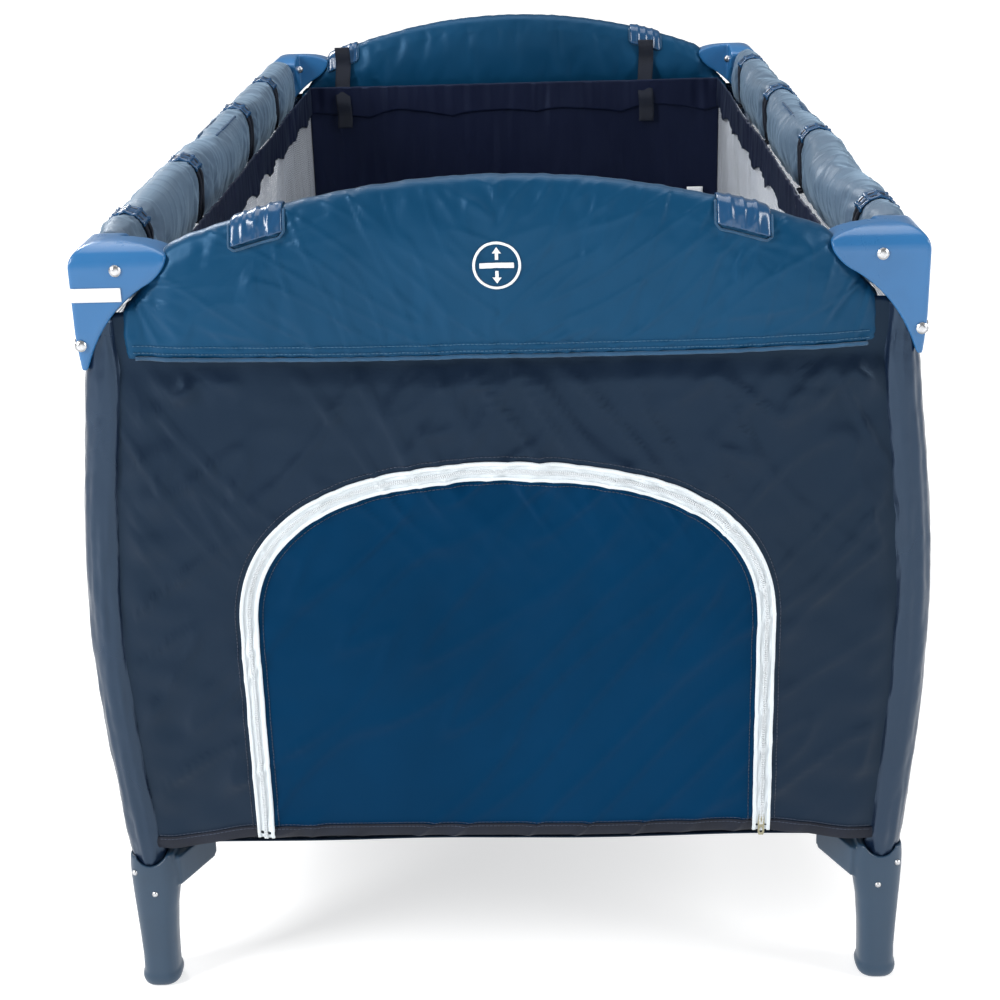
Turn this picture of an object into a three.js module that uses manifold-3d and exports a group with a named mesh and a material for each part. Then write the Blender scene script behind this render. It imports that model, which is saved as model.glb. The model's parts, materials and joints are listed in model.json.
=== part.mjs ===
// A folding travel playpen: a tube frame with four corner castings, four latching rails and a folding base,
// covered in fabric, with a zipped door at the front end and a hung insert that carries a folding mattress.
// Millimetres, Z up. X runs across, Y along, and the door end faces -Y.
// The origin is on the floor under the middle.
import * as THREE from "three";
import { mergeVertices } from "three/addons/utils/BufferGeometryUtils.js";
import Module from "manifold-3d";

const wasm = await Module();
wasm.setup();

// Overall sizes
const overallLength = 1250; // over the corner castings, along Y
const frameWidth = 694; // over the corner castings, along X
const railHeight = 692; // the rail pivots above the floor
const endCoverTop = railHeight + 68; // top of the arched covers at both ends

// Frame tubes
const legRadius = 11;
const railRadius = 8;
const armRadius = 8;
const tubeWall = 1.2;
const tubeSides = 10;
const legBow = 17; // how far the legs bow out past their feet
const legSplay = 9; // how far a foot stands outside its casting
const pinRadius = 3;
const pinHoleRadius = 3.7;

// Corner castings
const castingDepth = 38;
const castingTop = railHeight + 21;
const castingTip = railHeight - 84;
const boreGap = 0.4;
const endWing = 80; // along the end rail, from the outside face
const sideWing = 76; // along the side rail
const endPivotInset = 20; // from the leg to the end rail's pivot
const sidePivotInset = 22; // from the leg to the side rail's pivot
const tubeEnd = 6; // a tube's length past its pivot
const slotSide = 0.7; // clearance beside a tube in its slot
const slotEnd = 1.4; // clearance round a tube's turning end

// Latch housings in the middle of each rail
const housingPin = 50; // the housing's two pins, from its middle
const housingHalf = 66;
const housingBottom = railHeight - 16;
const sideHousingTop = railHeight + 16;
const housingWall = 2.2;
const housingCore = 36; // half the solid middle
const buttonLength = 31;
const buttonWidth = 15;
const buttonDrop = 6; // how far a button stands below its housing
const buttonDepth = 14; // the part of a button inside its housing
const buttonTravel = 5;
const buttonGap = 0.5;

// Base
const armHeight = 120;
const footPivotOffset = 2; // the base pivots sit this much further out than the side rail pivots
const footTop = 141;
const footSole = 28; // solid part under the leg tube
const earWidth = 26;
const earDepth = 34;
const earReach = 14;
const hubRadius = 85;
const hubBottom = 106;
const hubTop = 136;
const strapWidth = 25;
const strapHeight = 38;
const strapSpan = 60;
const strapThickness = 1.6;

// Fabric
const gap = 0.4; // between pieces that touch
const sleeveRadius = 17.5;
const sleeveGap = 1;
const sleeveBottom = footTop + 5;
const sleeveTop = castingTip - 3;
const panelThickness = 3;
const panelBottom = 160;
const coverThickness = 3.5;
const coverWidth = 38;
const coverDrop = 7e-4; // the end cover's top falls by this times X squared
const endCoverHem = railHeight - 80;
const endCoverHalf = frameWidth / 2 - 38;
const sideCoverTop = railHeight + 24;
const sideCoverHem = railHeight - 52;
const sideCoverWidth = 40;
const coverOverPanel = 26; // how far a panel reaches up under its cover
const meshThickness = 2;

// Door and zip
const doorHalf = 232.5; // outside edge of the zip tape
const doorTop = 522.5;
const doorSpring = 372; // where the straight sides end
const tapeWidth = 16;
const sliderWidth = 11;
const sliderLength = 15;
const sliderDepth = 2.3;
const sliderStart = 8; // slider's lower end above the hem
const pullLength = 22;
const pullWidth = 6;
const pullThickness = 0.8;

// Insert and mattress
const insertGap = 12; // between the insert and the side covers
const insertWall = 3;
const insertFloor = 400;
const insertFloorThickness = 5;
const insertTop = railHeight - 28;
const mattressThickness = 20;
const mattressGap = 6; // round the mattress
const mattressJoint = 2.4; // between two sections
const mattressSections = 4;

// Places worked out from the sizes above
const halfLength = overallLength / 2;
const halfWidth = frameWidth / 2;
const postX = halfWidth - castingDepth / 2;
const postY = halfLength - castingDepth / 2;
const endPivotX = postX - endPivotInset;
const sidePivotY = postY - sidePivotInset;
const spanX = endPivotX - housingPin;
const spanY = sidePivotY - housingPin;
const footX = postX + legSplay;
const footPivot = new THREE.Vector2(endPivotX, sidePivotY + footPivotOffset);
const hubPin = new THREE.Vector2(footPivot.x - spanX, footPivot.y - spanY);
// The height of an end rail's line where it meets its housing: the folded halves just clear each other.
const archHeight = endCoverTop - coverThickness - railRadius - 15.5;
const archEnd = housingPin + 14;
const armDirection = new THREE.Vector2(spanX, spanY).normalize();
const legTop = railHeight - 20;
const boreRadius = (legRadius + boreGap) / Math.cos(Math.PI / tubeSides); // clears a faceted tube at any turn

const finishes = {
  frame: { color: 0x8a9099, roughness: 0.35, metalness: 0.8 },
  casting: { color: 0x2c6aa3, roughness: 0.35, metalness: 0 },
  foot: { color: 0x2a4560, roughness: 0.45, metalness: 0 },
  housing: { color: 0x23272e, roughness: 0.5, metalness: 0 },
  navy: { color: 0x1d2b42, roughness: 0.7, metalness: 0 },
  blue: { color: 0x13446c, roughness: 0.6, metalness: 0 },
  mesh: { color: 0x3c4654, roughness: 0.8, metalness: 0 },
  zip: { color: 0xdfe6ea, roughness: 0.6, metalness: 0 },
  brass: { color: 0x92968a, roughness: 0.3, metalness: 0.9 },
  mattress: { color: 0x24344d, roughness: 0.8, metalness: 0 },
};

// ---- solids ----

function toSolid(geometry) {
  const loose = geometry.index ? geometry.toNonIndexed() : geometry;
  const bare = new THREE.BufferGeometry();
  bare.setAttribute("position", loose.getAttribute("position").clone());
  const merged = mergeVertices(bare, 1e-3);
  return new wasm.Manifold(
    new wasm.Mesh({
      numProp: 3,
      vertProperties: merged.attributes.position.array,
      triVerts: new Uint32Array(merged.index.array),
    }),
  );
}

function toGeometry(solid) {
  const mesh = solid.getMesh();
  const indexed = new THREE.BufferGeometry();
  indexed.setAttribute("position", new THREE.BufferAttribute(mesh.vertProperties, 3));
  indexed.setIndex(new THREE.BufferAttribute(mesh.triVerts, 1));
  const faceted = indexed.toNonIndexed();
  faceted.computeVertexNormals();
  return faceted;
}

// Joins the geometries in added, then cuts away those in removed.
function build(added, removed = []) {
  let solid = toSolid(added[0]);
  for (const geometry of added.slice(1)) solid = solid.add(toSolid(geometry));
  for (const geometry of removed) solid = solid.subtract(toSolid(geometry));
  return toGeometry(solid);
}

function block(x, y, z) {
  const box = new THREE.BoxGeometry(x[1] - x[0], y[1] - y[0], z[1] - z[0]);
  return box.translate((x[0] + x[1]) / 2, (y[0] + y[1]) / 2, (z[0] + z[1]) / 2);
}

// A round rod between two points.
function rod(from, to, radius, sides = tubeSides) {
  const along = new THREE.Vector3().subVectors(to, from);
  const upright = new THREE.Vector3(0, 1, 0);
  const turn = new THREE.Quaternion().setFromUnitVectors(upright, along.clone().normalize());
  const middle = new THREE.Vector3().addVectors(from, to).multiplyScalar(0.5);
  const rodGeometry = new THREE.CylinderGeometry(radius, radius, along.length(), sides);
  return rodGeometry.applyQuaternion(turn).translate(middle.x, middle.y, middle.z);
}

function point(x, y, z) {
  return new THREE.Vector3(x, y, z);
}

function outline(points) {
  return new THREE.Shape(points.map(([across, up]) => new THREE.Vector2(across, up)));
}

// An outline in the front view (X, Z), solid between two planes across Y.
function frontPlate(shape, yFrom, yTo, curveSegments = 5) {
  const plate = new THREE.ExtrudeGeometry(shape, { depth: yTo - yFrom, bevelEnabled: false, curveSegments });
  return plate.rotateX(Math.PI / 2).translate(0, yTo, 0);
}

// An outline in the side view (Y, Z), solid between two planes across X.
function sidePlate(shape, xFrom, xTo, curveSegments = 5) {
  const plate = new THREE.ExtrudeGeometry(shape, { depth: xTo - xFrom, bevelEnabled: false, curveSegments });
  const toSide = new THREE.Matrix4().set(0, 0, 1, 0, 1, 0, 0, 0, 0, 1, 0, 0, 0, 0, 0, 1);
  return plate.applyMatrix4(toSide).translate(xFrom, 0, 0);
}

function ring(outer, inner) {
  const turn = (step) => (step * 2 * Math.PI) / tubeSides;
  const steps = [...Array(tubeSides).keys()];
  const shape = outline(steps.map((i) => [outer * Math.cos(turn(i)), outer * Math.sin(turn(i))]));
  shape.holes.push(outline(steps.map((i) => [inner * Math.cos(turn(-i)), inner * Math.sin(turn(-i))])));
  return shape;
}

// A hollow tube along a curve.
function tube(curve, outer, inner, steps) {
  return new THREE.ExtrudeGeometry(ring(outer, inner), { steps, bevelEnabled: false, extrudePath: curve });
}

// ---- legs ----

// The leg's line at a height: straight at both ends and bowed outwards between them.
function legXAt(z) {
  const share = THREE.MathUtils.clamp((castingTip - z) / (castingTip - footTop), 0, 1);
  return postX + legSplay * share + legBow * Math.sin(Math.PI * share) ** 1.2;
}

class LegLine extends THREE.Curve {
  constructor(bottom, top) {
    super();
    this.bottom = bottom;
    this.top = top;
  }

  getPoint(share, target = new THREE.Vector3()) {
    const z = this.bottom + (this.top - this.bottom) * share;
    return target.set(legXAt(z), postY, z);
  }
}

function legTube() {
  return tube(new LegLine(footSole + gap, legTop), legRadius, legRadius - tubeWall, 12);
}

function legSleeve() {
  return tube(new LegLine(sleeveBottom, sleeveTop), sleeveRadius, legRadius + sleeveGap, 12);
}

// The side of a casting's wing: a rounded top, and a hollow sweep under it down to a narrow tip.
function wingOutline(outer, length) {
  const inner = outer - length;
  const shape = new THREE.Shape();
  shape.moveTo(outer - 2, castingTip);
  shape.lineTo(outer, castingTip + 32);
  shape.lineTo(outer, castingTop - 18);
  shape.quadraticCurveTo(outer - 2, castingTop, outer - 30, castingTop);
  shape.quadraticCurveTo(inner + 14, castingTop, inner, castingTop - 10);
  shape.quadraticCurveTo(inner - 1, castingTop - 20, inner + 14, castingTop - 32);
  shape.quadraticCurveTo(outer - 24, castingTop - 54, outer - 7, castingTip);
  shape.closePath();
  return shape;
}

function cornerCasting() {
  const half = castingDepth / 2;
  const slotHalf = railRadius + slotSide;
  const turning = Math.hypot(railRadius, tubeEnd) + slotEnd;
  const below = castingTip - 5;
  const slotZ = [below, railHeight + turning];
  return build(
    [
      frontPlate(wingOutline(halfWidth, endWing), postY - half, postY + half),
      sidePlate(wingOutline(halfLength, sideWing), postX - half, postX + half),
    ],
    [
      rod(point(postX, postY, below), point(postX, postY, legTop + gap), boreRadius),
      block([endPivotX - endWing, endPivotX + turning], [postY - slotHalf, postY + slotHalf], slotZ),
      block([postX - slotHalf, postX + slotHalf], [sidePivotY - sideWing, sidePivotY + turning], slotZ),
    ],
  );
}

// A casting with the two pins that its rails turn on.
function pinnedCasting() {
  const half = castingDepth / 2 - 2;
  return build([
    cornerCasting(),
    rod(point(endPivotX, postY - half, railHeight), point(endPivotX, postY + half, railHeight), pinRadius),
    rod(point(postX - half, sidePivotY, railHeight), point(postX + half, sidePivotY, railHeight), pinRadius),
  ]);
}

// A block lying along a base arm: from and to are distances from a point on the arm, along it.
function alongArm(at, from, to, halfAcross, z) {
  const bar = block([from, to], [-halfAcross, halfAcross], z);
  return bar.rotateZ(armDirection.angle()).translate(at.x, at.y, 0);
}

// The pin across a base arm's end.
function armPin(at, halfLengthOfPin) {
  const across = new THREE.Vector2(-armDirection.y, armDirection.x).multiplyScalar(halfLengthOfPin);
  const ends = [-1, 1].map((side) => point(at.x + side * across.x, at.y + side * across.y, armHeight));
  return rod(ends[0], ends[1], pinRadius);
}

function foot() {
  const half = castingDepth / 2;
  const boot = outline([
    [footX - 17, 0],
    [footX + 18, 0],
    [footX + 20, 6],
    [footX + 18, 72],
    [footX + 16, footTop],
    [footX - 16, footTop],
    [footX - 19, 60],
    [footX - 19, 8],
  ]);
  const slotHalf = armRadius + slotSide;
  const turning = Math.hypot(armRadius, tubeEnd) + slotEnd;
  const earZ = [armHeight - earDepth / 2, armHeight + earDepth / 2];
  const through = [earZ[0] - 5, footTop + 5];
  return build(
    [
      frontPlate(boot, postY - half, postY + half),
      alongArm(footPivot, -earReach, earReach * 2, earWidth / 2, earZ),
    ],
    [
      rod(point(footX, postY, footSole), point(footX, postY, footTop + 5), boreRadius),
      alongArm(footPivot, -earReach - 5, turning, slotHalf, through),
    ],
  );
}

function pinnedFoot() {
  return build([foot(), armPin(footPivot, earWidth / 2 - 1)]);
}

// ---- rails ----

function pinHole(from, to) {
  return rod(from, to, pinHoleRadius, 8);
}

// Half of a side rail, straight, from its casting to its housing.
function sideRailHalf() {
  const inner = housingPin - tubeEnd;
  const outer = sidePivotY + tubeEnd;
  const line = new THREE.LineCurve3(point(postX, inner, railHeight), point(postX, outer, railHeight));
  const holes = [housingPin, sidePivotY].map((y) =>
    pinHole(point(postX - railRadius - 1, y, railHeight), point(postX + railRadius + 1, y, railHeight)),
  );
  return build([tube(line, railRadius, railRadius - tubeWall, 1)], holes);
}

// An end rail half's line: level inside its casting, then an arch up to its housing.
class EndRailLine extends THREE.Curve {
  getPoint(share, target = new THREE.Vector3()) {
    const x = THREE.MathUtils.lerp(endPivotX + tubeEnd, archEnd, share);
    const wingEnd = halfWidth - endWing;
    const rise = THREE.MathUtils.clamp((wingEnd - x) / (wingEnd - archEnd), 0, 1);
    const arch = Math.sin((Math.PI / 2) * rise) ** 1.4;
    return target.set(x, postY, railHeight + (archHeight - railHeight) * arch);
  }
}

// Half of an end rail: the arched tube, and a lug that hangs down from it to the housing's pin.
function endRailHalf() {
  const lugHalf = railRadius - 1;
  const lug = outline([
    [housingPin - 4, railHeight - lugHalf],
    [housingPin + 4, railHeight - lugHalf],
    [housingPin + lugHalf, railHeight],
    [archEnd + 12, archHeight - 2],
    [archEnd + 2, archHeight + 2],
    [archEnd - 5, archHeight - 4],
    [housingPin - lugHalf, railHeight],
  ]);
  const holes = [endPivotX, housingPin].map((x) =>
    pinHole(point(x, postY - railRadius - 1, railHeight), point(x, postY + railRadius + 1, railHeight)),
  );
  const lugThickness = railRadius - 2;
  const arched = tube(new EndRailLine(), railRadius, railRadius - tubeWall, 9);
  return build([arched, frontPlate(lug, postY - lugThickness, postY + lugThickness)], holes);
}

// A latch housing along X at the origin's Y plane: two side plates, open above for both rail halves to swing up,
// joined by a low core with the button's pocket and crossed by their two pins.
function housing(top) {
  const slotHalf = railRadius + slotSide;
  const halfThickness = slotHalf + housingWall;
  const pocket = [buttonLength / 2 + buttonGap, buttonWidth / 2 + buttonGap];
  const pocketTop = housingBottom + buttonDepth + buttonTravel + 1;
  const core = outline([
    [-housingCore, housingBottom],
    [housingCore, housingBottom],
    [housingCore, housingBottom + 11],
    [housingCore / 2, pocketTop + housingWall],
    [-housingCore / 2, pocketTop + housingWall],
    [-housingCore, housingBottom + 11],
  ]);
  const body = build(
    [
      block([-housingHalf, housingHalf], [-halfThickness, -slotHalf], [housingBottom, top]),
      block([-housingHalf, housingHalf], [slotHalf, halfThickness], [housingBottom, top]),
      frontPlate(core, -slotHalf - 1, slotHalf + 1),
    ],
    [block([-pocket[0], pocket[0]], [-pocket[1], pocket[1]], [housingBottom - 5, pocketTop])],
  );
  const pins = [-1, 1].map((side) => {
    const half = halfThickness - 1;
    return rod(point(side * housingPin, -half, railHeight), point(side * housingPin, half, railHeight), pinRadius);
  });
  return build([body, ...pins]);
}

function latchButton() {
  const shape = outline([
    [-buttonLength / 2 + 3, housingBottom - buttonDrop],
    [buttonLength / 2 - 3, housingBottom - buttonDrop],
    [buttonLength / 2, housingBottom - buttonDrop + 3],
    [buttonLength / 2, housingBottom + buttonDepth],
    [-buttonLength / 2, housingBottom + buttonDepth],
    [-buttonLength / 2, housingBottom - buttonDrop + 3],
  ]);
  return frontPlate(shape, -buttonWidth / 2, buttonWidth / 2);
}

// ---- base ----

function baseArm() {
  const past = armDirection.clone().multiplyScalar(tubeEnd);
  const outer = point(footPivot.x + past.x, footPivot.y + past.y, armHeight);
  const inner = point(hubPin.x - past.x, hubPin.y - past.y, armHeight);
  const across = new THREE.Vector2(-armDirection.y, armDirection.x).multiplyScalar(armRadius + 1);
  const holes = [footPivot, hubPin].map((at) =>
    pinHole(point(at.x - across.x, at.y - across.y, armHeight), point(at.x + across.x, at.y + across.y, armHeight)),
  );
  return build([tube(new THREE.LineCurve3(inner, outer), armRadius, armRadius - tubeWall, 1)], holes);
}

function baseHub() {
  const slotHalf = armRadius + slotSide;
  const turning = Math.hypot(armRadius, tubeEnd) + slotEnd;
  const disc = rod(point(0, 0, hubBottom), point(0, 0, hubTop), hubRadius, 24);
  const quarters = [[1, 1], [-1, 1], [1, -1], [-1, -1]];
  const mirrored = (geometry, [sx, sy]) => toGeometry(toSolid(geometry).scale([sx, sy, 1]));
  const slot = alongArm(hubPin, -turning, hubRadius, slotHalf, [hubBottom - 5, armHeight + turning]);
  const slotted = build([disc], quarters.map((quarter) => mirrored(slot, quarter)));
  const pin = armPin(hubPin, slotHalf + 2);
  return build([slotted, ...quarters.map((quarter) => mirrored(pin, quarter))]);
}

function pullStrap() {
  const half = strapSpan / 2;
  const bottom = hubTop + gap;
  const shape = new THREE.Shape();
  shape.moveTo(-half, bottom);
  shape.bezierCurveTo(-half, bottom + strapHeight, half, bottom + strapHeight, half, bottom);
  shape.lineTo(half - strapThickness, bottom);
  shape.bezierCurveTo(
    half - strapThickness,
    bottom + strapHeight - strapThickness * 1.3,
    -half + strapThickness,
    bottom + strapHeight - strapThickness * 1.3,
    -half + strapThickness,
    bottom,
  );
  return frontPlate(shape, -strapWidth / 2, strapWidth / 2, 8);
}

// ---- covers ----

// The front view of an end cover: a hem, ends that clear the castings' wings, and an arched top.
function endCoverOutline(inset, hem) {
  const half = endCoverHalf - inset;
  const wingEnd = halfWidth - endWing - 5 - inset;
  const top = (x) => endCoverTop - inset - coverDrop * x * x;
  const wingLow = castingTop - 58;
  const points = [[half, hem], [half, castingTip + 4 - inset], [halfWidth - 53 - inset, wingLow - inset]];
  points.push([wingEnd, castingTop - 36 - inset], [wingEnd, top(wingEnd)]);
  const archSteps = 12;
  for (let i = 1; i < archSteps; i++) {
    const x = wingEnd * (1 - (2 * i) / archSteps);
    points.push([x, top(x)]);
  }
  const mirrored = [points[4], points[3], points[2], points[1], points[0]].map(([x, z]) => [-x, z]);
  return outline([...points, ...mirrored]);
}

function endCover() {
  const yFrom = postY - coverWidth / 2;
  const yTo = postY + coverWidth / 2;
  return build(
    [frontPlate(endCoverOutline(0, endCoverHem), yFrom, yTo)],
    [
      frontPlate(endCoverOutline(coverThickness, endCoverHem - 5), yFrom + coverThickness, yTo - coverThickness),
      block([-halfWidth, halfWidth], [yFrom - 5, yFrom + coverThickness + 1], [endCoverHem - 5, sideCoverHem]),
      block(
        [-halfWidth, halfWidth],
        [yFrom + coverThickness, yTo - coverThickness],
        [endCoverHem - 5, endCoverHem + 60],
      ),
      ...[-1, 1].map((side) => {
        const ends = [side * (halfWidth - endWing - 12), side * halfWidth].sort((a, b) => a - b);
        return block(ends, [yFrom + coverThickness, yTo - coverThickness], [endCoverHem - 5, endCoverTop]);
      }),
    ],
  );
}

// A side cover: a long inverted trough over the rail, with rounded shoulders.
function sideCover() {
  const half = halfLength - sideWing - 5;
  const section = (inset, hem) => {
    const side = sideCoverWidth / 2 - inset;
    const shoulder = 8 - inset / 2;
    const shape = new THREE.Shape();
    shape.moveTo(postX - side, hem);
    shape.lineTo(postX + side, hem);
    shape.lineTo(postX + side, sideCoverTop - inset - shoulder);
    shape.quadraticCurveTo(postX + side, sideCoverTop - inset, postX + side - shoulder, sideCoverTop - inset);
    shape.lineTo(postX - side + shoulder, sideCoverTop - inset);
    shape.quadraticCurveTo(postX - side, sideCoverTop - inset, postX - side, sideCoverTop - inset - shoulder);
    return shape;
  };
  return build(
    [frontPlate(section(0, sideCoverHem), -half, half, 3)],
    [frontPlate(section(coverThickness, sideCoverHem - 5), -half - 5, half + 5, 3)],
  );
}

// ---- panels, door and zip ----

function doorOutline(inset) {
  const half = doorHalf - inset;
  const top = doorTop - inset;
  const bottom = panelBottom - 5;
  const bulge = (top - doorSpring) * 0.65;
  const shape = new THREE.Shape();
  shape.moveTo(-half, bottom);
  shape.lineTo(half, bottom);
  shape.lineTo(half, doorSpring);
  shape.bezierCurveTo(half, doorSpring + bulge, half * 0.645, top, 0, top);
  shape.bezierCurveTo(-half * 0.645, top, -half, doorSpring + bulge, -half, doorSpring);
  shape.closePath();
  return shape;
}

function belowPanel(yFrom, yTo) {
  return block([-doorHalf - 5, doorHalf + 5], [yFrom - 5, yTo + 5], [panelBottom - 20, panelBottom]);
}

// The end panel's place across Y, seen in the rear half.
const panelFront = postY + coverWidth / 2 - coverThickness - gap;
const panelY = [panelFront - panelThickness, panelFront];

function endPanel() {
  const top = endCoverHem + coverOverPanel;
  const sideSteps = 8;
  const right = [];
  for (let i = 0; i <= sideSteps; i++) {
    const z = panelBottom + ((top - panelBottom) * i) / sideSteps;
    right.push([legXAt(z) - sleeveRadius - gap - (z > sleeveTop - 5 ? 6 : 0), z]);
  }
  const left = right.map(([x, z]) => [-x, z]).reverse();
  return frontPlate(outline([...right, ...left]), ...panelY);
}

function frontPanel() {
  return build([endPanel()], [frontPlate(doorOutline(-gap), panelY[0] - 5, panelY[1] + 5, 8)]);
}

function zipperTape() {
  return build(
    [frontPlate(doorOutline(0), ...panelY, 8)],
    [frontPlate(doorOutline(tapeWidth), panelY[0] - 5, panelY[1] + 5, 8), belowPanel(...panelY)],
  );
}

function frontDoor() {
  return build([frontPlate(doorOutline(tapeWidth + gap), ...panelY, 8)], [belowPanel(...panelY)]);
}

const sliderX = doorHalf - tapeWidth / 2;
const sliderY = panelY[1] + gap;
const sliderZ = panelBottom + sliderStart;

function zipperSlider() {
  const body = outline([
    [sliderX - sliderWidth / 2 + 2, sliderZ],
    [sliderX + sliderWidth / 2 - 2, sliderZ],
    [sliderX + sliderWidth / 2, sliderZ + sliderLength],
    [sliderX - sliderWidth / 2, sliderZ + sliderLength],
  ]);
  return frontPlate(body, sliderY, sliderY + sliderDepth);
}

function zipperPull() {
  const y = sliderY + sliderDepth + gap;
  const top = sliderZ + sliderLength - 3;
  const body = outline([
    [sliderX - pullWidth / 2, top - pullLength],
    [sliderX + pullWidth / 2, top - pullLength],
    [sliderX + pullWidth / 2 - 1, top],
    [sliderX - pullWidth / 2 + 1, top],
  ]);
  return frontPlate(body, y, y + pullThickness);
}

function sidePanel() {
  const reach = postY - sleeveRadius - 2;
  const outer = postX + sideCoverWidth / 2 - coverThickness - 2;
  const x = [outer - meshThickness, outer];
  return block(x, [-reach, reach], [panelBottom, sideCoverHem - 4]);
}

// The fabric floor over the base arms, with a hole for the pull strap.
function floorPanel() {
  const halfX = postX - 8;
  const halfY = panelY[0] - 4;
  const cornerX = postX - sleeveRadius - 5;
  const cornerY = postY - sleeveRadius - 5;
  const quarter = [[cornerX, halfY], [cornerX, cornerY], [halfX, cornerY]];
  const points = [
    ...quarter.map(([x, y]) => [-x, -y]),
    ...[...quarter].reverse().map(([x, y]) => [-x, y]),
    ...quarter,
    ...[...quarter].reverse().map(([x, y]) => [x, -y]),
  ];
  const sheet = new THREE.ExtrudeGeometry(outline(points), { depth: panelThickness, bevelEnabled: false });
  sheet.translate(0, 0, panelBottom - 10);
  const hole = block([-strapSpan / 2 - 6, strapSpan / 2 + 6], [-strapWidth / 2 - 5, strapWidth / 2 + 5], [0, railHeight]);
  return build([sheet], [hole]);
}

// ---- insert and mattress ----

const insertHalf = new THREE.Vector2(
  postX - sideCoverWidth / 2 - insertGap,
  postY - coverWidth / 2 - insertGap,
);

function insertBasket() {
  const { x, y } = insertHalf;
  const inner = [x - insertWall, y - insertWall];
  return build(
    [block([-x, x], [-y, y], [insertFloor - insertFloorThickness, insertTop])],
    [block([-inner[0], inner[0]], [-inner[1], inner[1]], [insertFloor, insertTop + 5])],
  );
}

const mattressHalf = new THREE.Vector2(insertHalf.x - mattressGap, insertHalf.y - mattressGap);
const sectionPitch = (mattressHalf.y * 2 + mattressJoint) / mattressSections;

function mattressSection(index) {
  const start = -mattressHalf.y + sectionPitch * index;
  const z = [insertFloor + gap, insertFloor + gap + mattressThickness];
  return block([-mattressHalf.x, mattressHalf.x], [start, start + sectionPitch - mattressJoint], z);
}

// ---- the assembly ----

const playpen = new THREE.Group();

function add(name, geometry, finish, parent = playpen) {
  const mesh = new THREE.Mesh(geometry, new THREE.MeshStandardMaterial(finishes[finish]));
  mesh.name = name;
  parent.add(mesh);
  return mesh;
}

function sideGroup(sx, sy) {
  const group = new THREE.Group();
  group.scale.set(sx, sy, 1);
  playpen.add(group);
  return group;
}

const cornerPieces = [
  ["leg_tube", legTube(), "frame"],
  ["leg_sleeve", legSleeve(), "navy"],
  ["corner_casting", pinnedCasting(), "casting"],
  ["foot", pinnedFoot(), "foot"],
  ["base_arm", baseArm(), "frame"],
];
for (const [end, sy] of [["front", -1], ["rear", 1]]) {
  for (const [side, sx] of [["left", -1], ["right", 1]]) {
    const corner = sideGroup(sx, sy);
    for (const [name, geometry, finish] of cornerPieces) add(`${name}_${end}_${side}`, geometry, finish, corner);
  }
}

const endHousing = housing(endCoverTop - coverThickness - 7);
endHousing.translate(0, postY, 0);
const sideHousing = housing(sideHousingTop);
sideHousing.rotateZ(Math.PI / 2).translate(postX, 0, 0);
const endButton = latchButton().translate(0, postY, 0);
const sideButton = latchButton().rotateZ(Math.PI / 2).translate(postX, 0, 0);

for (const [end, sy] of [["front", -1], ["rear", 1]]) {
  const group = sideGroup(1, sy);
  add(`latch_housing_${end}`, endHousing, "housing", group);
  add(`latch_button_${end}`, endButton, "casting", group);
  add(`rail_cover_${end}`, endCover(), "blue", group);
  for (const [side, sx] of [["left", -1], ["right", 1]]) {
    add(`rail_tube_${end}_${side}`, endRailHalf(), "frame", sideGroup(sx, sy));
  }
}
for (const [side, sx] of [["left", -1], ["right", 1]]) {
  const group = sideGroup(sx, 1);
  add(`latch_housing_${side}`, sideHousing, "housing", group);
  add(`latch_button_${side}`, sideButton, "casting", group);
  add(`rail_cover_${side}`, sideCover(), "blue", group);
  add(`side_panel_${side}`, sidePanel(), "mesh", group);
  for (const [end, sy] of [["front", -1], ["rear", 1]]) {
    add(`rail_tube_${side}_${end}`, sideRailHalf(), "frame", sideGroup(sx, sy));
  }
}

add("base_hub", baseHub(), "housing");
add("pull_strap", pullStrap(), "navy");
add("floor_panel", floorPanel(), "navy");
add("rear_panel", endPanel(), "navy");

const front = sideGroup(1, -1);
add("front_panel", frontPanel(), "navy", front);
add("zipper_tape", zipperTape(), "zip", front);
add("front_door", frontDoor(), "blue", front);
add("zipper_slider", zipperSlider(), "brass", front);
add("zipper_pull", zipperPull(), "brass", front);

add("insert", insertBasket(), "navy");
for (let i = 0; i < mattressSections; i++) add(`mattress_section_${i + 1}`, mattressSection(i), "mattress");

export default playpen;
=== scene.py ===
import json
import math

import bmesh
import bpy
import numpy as np
from mathutils import Matrix, Vector, noise
from mathutils.bvhtree import BVHTree


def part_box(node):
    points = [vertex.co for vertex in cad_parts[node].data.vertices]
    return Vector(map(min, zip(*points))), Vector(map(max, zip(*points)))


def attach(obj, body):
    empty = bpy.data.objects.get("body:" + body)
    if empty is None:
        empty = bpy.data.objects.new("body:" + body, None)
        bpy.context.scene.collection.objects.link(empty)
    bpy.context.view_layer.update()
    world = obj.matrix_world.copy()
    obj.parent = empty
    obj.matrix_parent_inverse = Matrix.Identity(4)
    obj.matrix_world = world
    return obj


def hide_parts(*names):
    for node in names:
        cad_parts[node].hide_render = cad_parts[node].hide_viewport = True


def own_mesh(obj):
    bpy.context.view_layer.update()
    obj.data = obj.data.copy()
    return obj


# A folding travel playpen: satin nylon over a tube frame, with blue moulded corners
# and a zipped door in the front end.
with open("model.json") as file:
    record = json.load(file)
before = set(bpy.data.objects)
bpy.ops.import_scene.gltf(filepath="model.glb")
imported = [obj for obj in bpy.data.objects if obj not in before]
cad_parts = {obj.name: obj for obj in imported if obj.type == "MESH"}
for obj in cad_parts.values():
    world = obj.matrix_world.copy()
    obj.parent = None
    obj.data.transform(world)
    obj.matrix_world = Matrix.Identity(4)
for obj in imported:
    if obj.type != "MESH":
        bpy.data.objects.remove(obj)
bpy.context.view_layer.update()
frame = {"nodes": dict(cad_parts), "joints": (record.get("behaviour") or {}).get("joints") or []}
scene = bpy.context.scene
mm = 0.001

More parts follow.
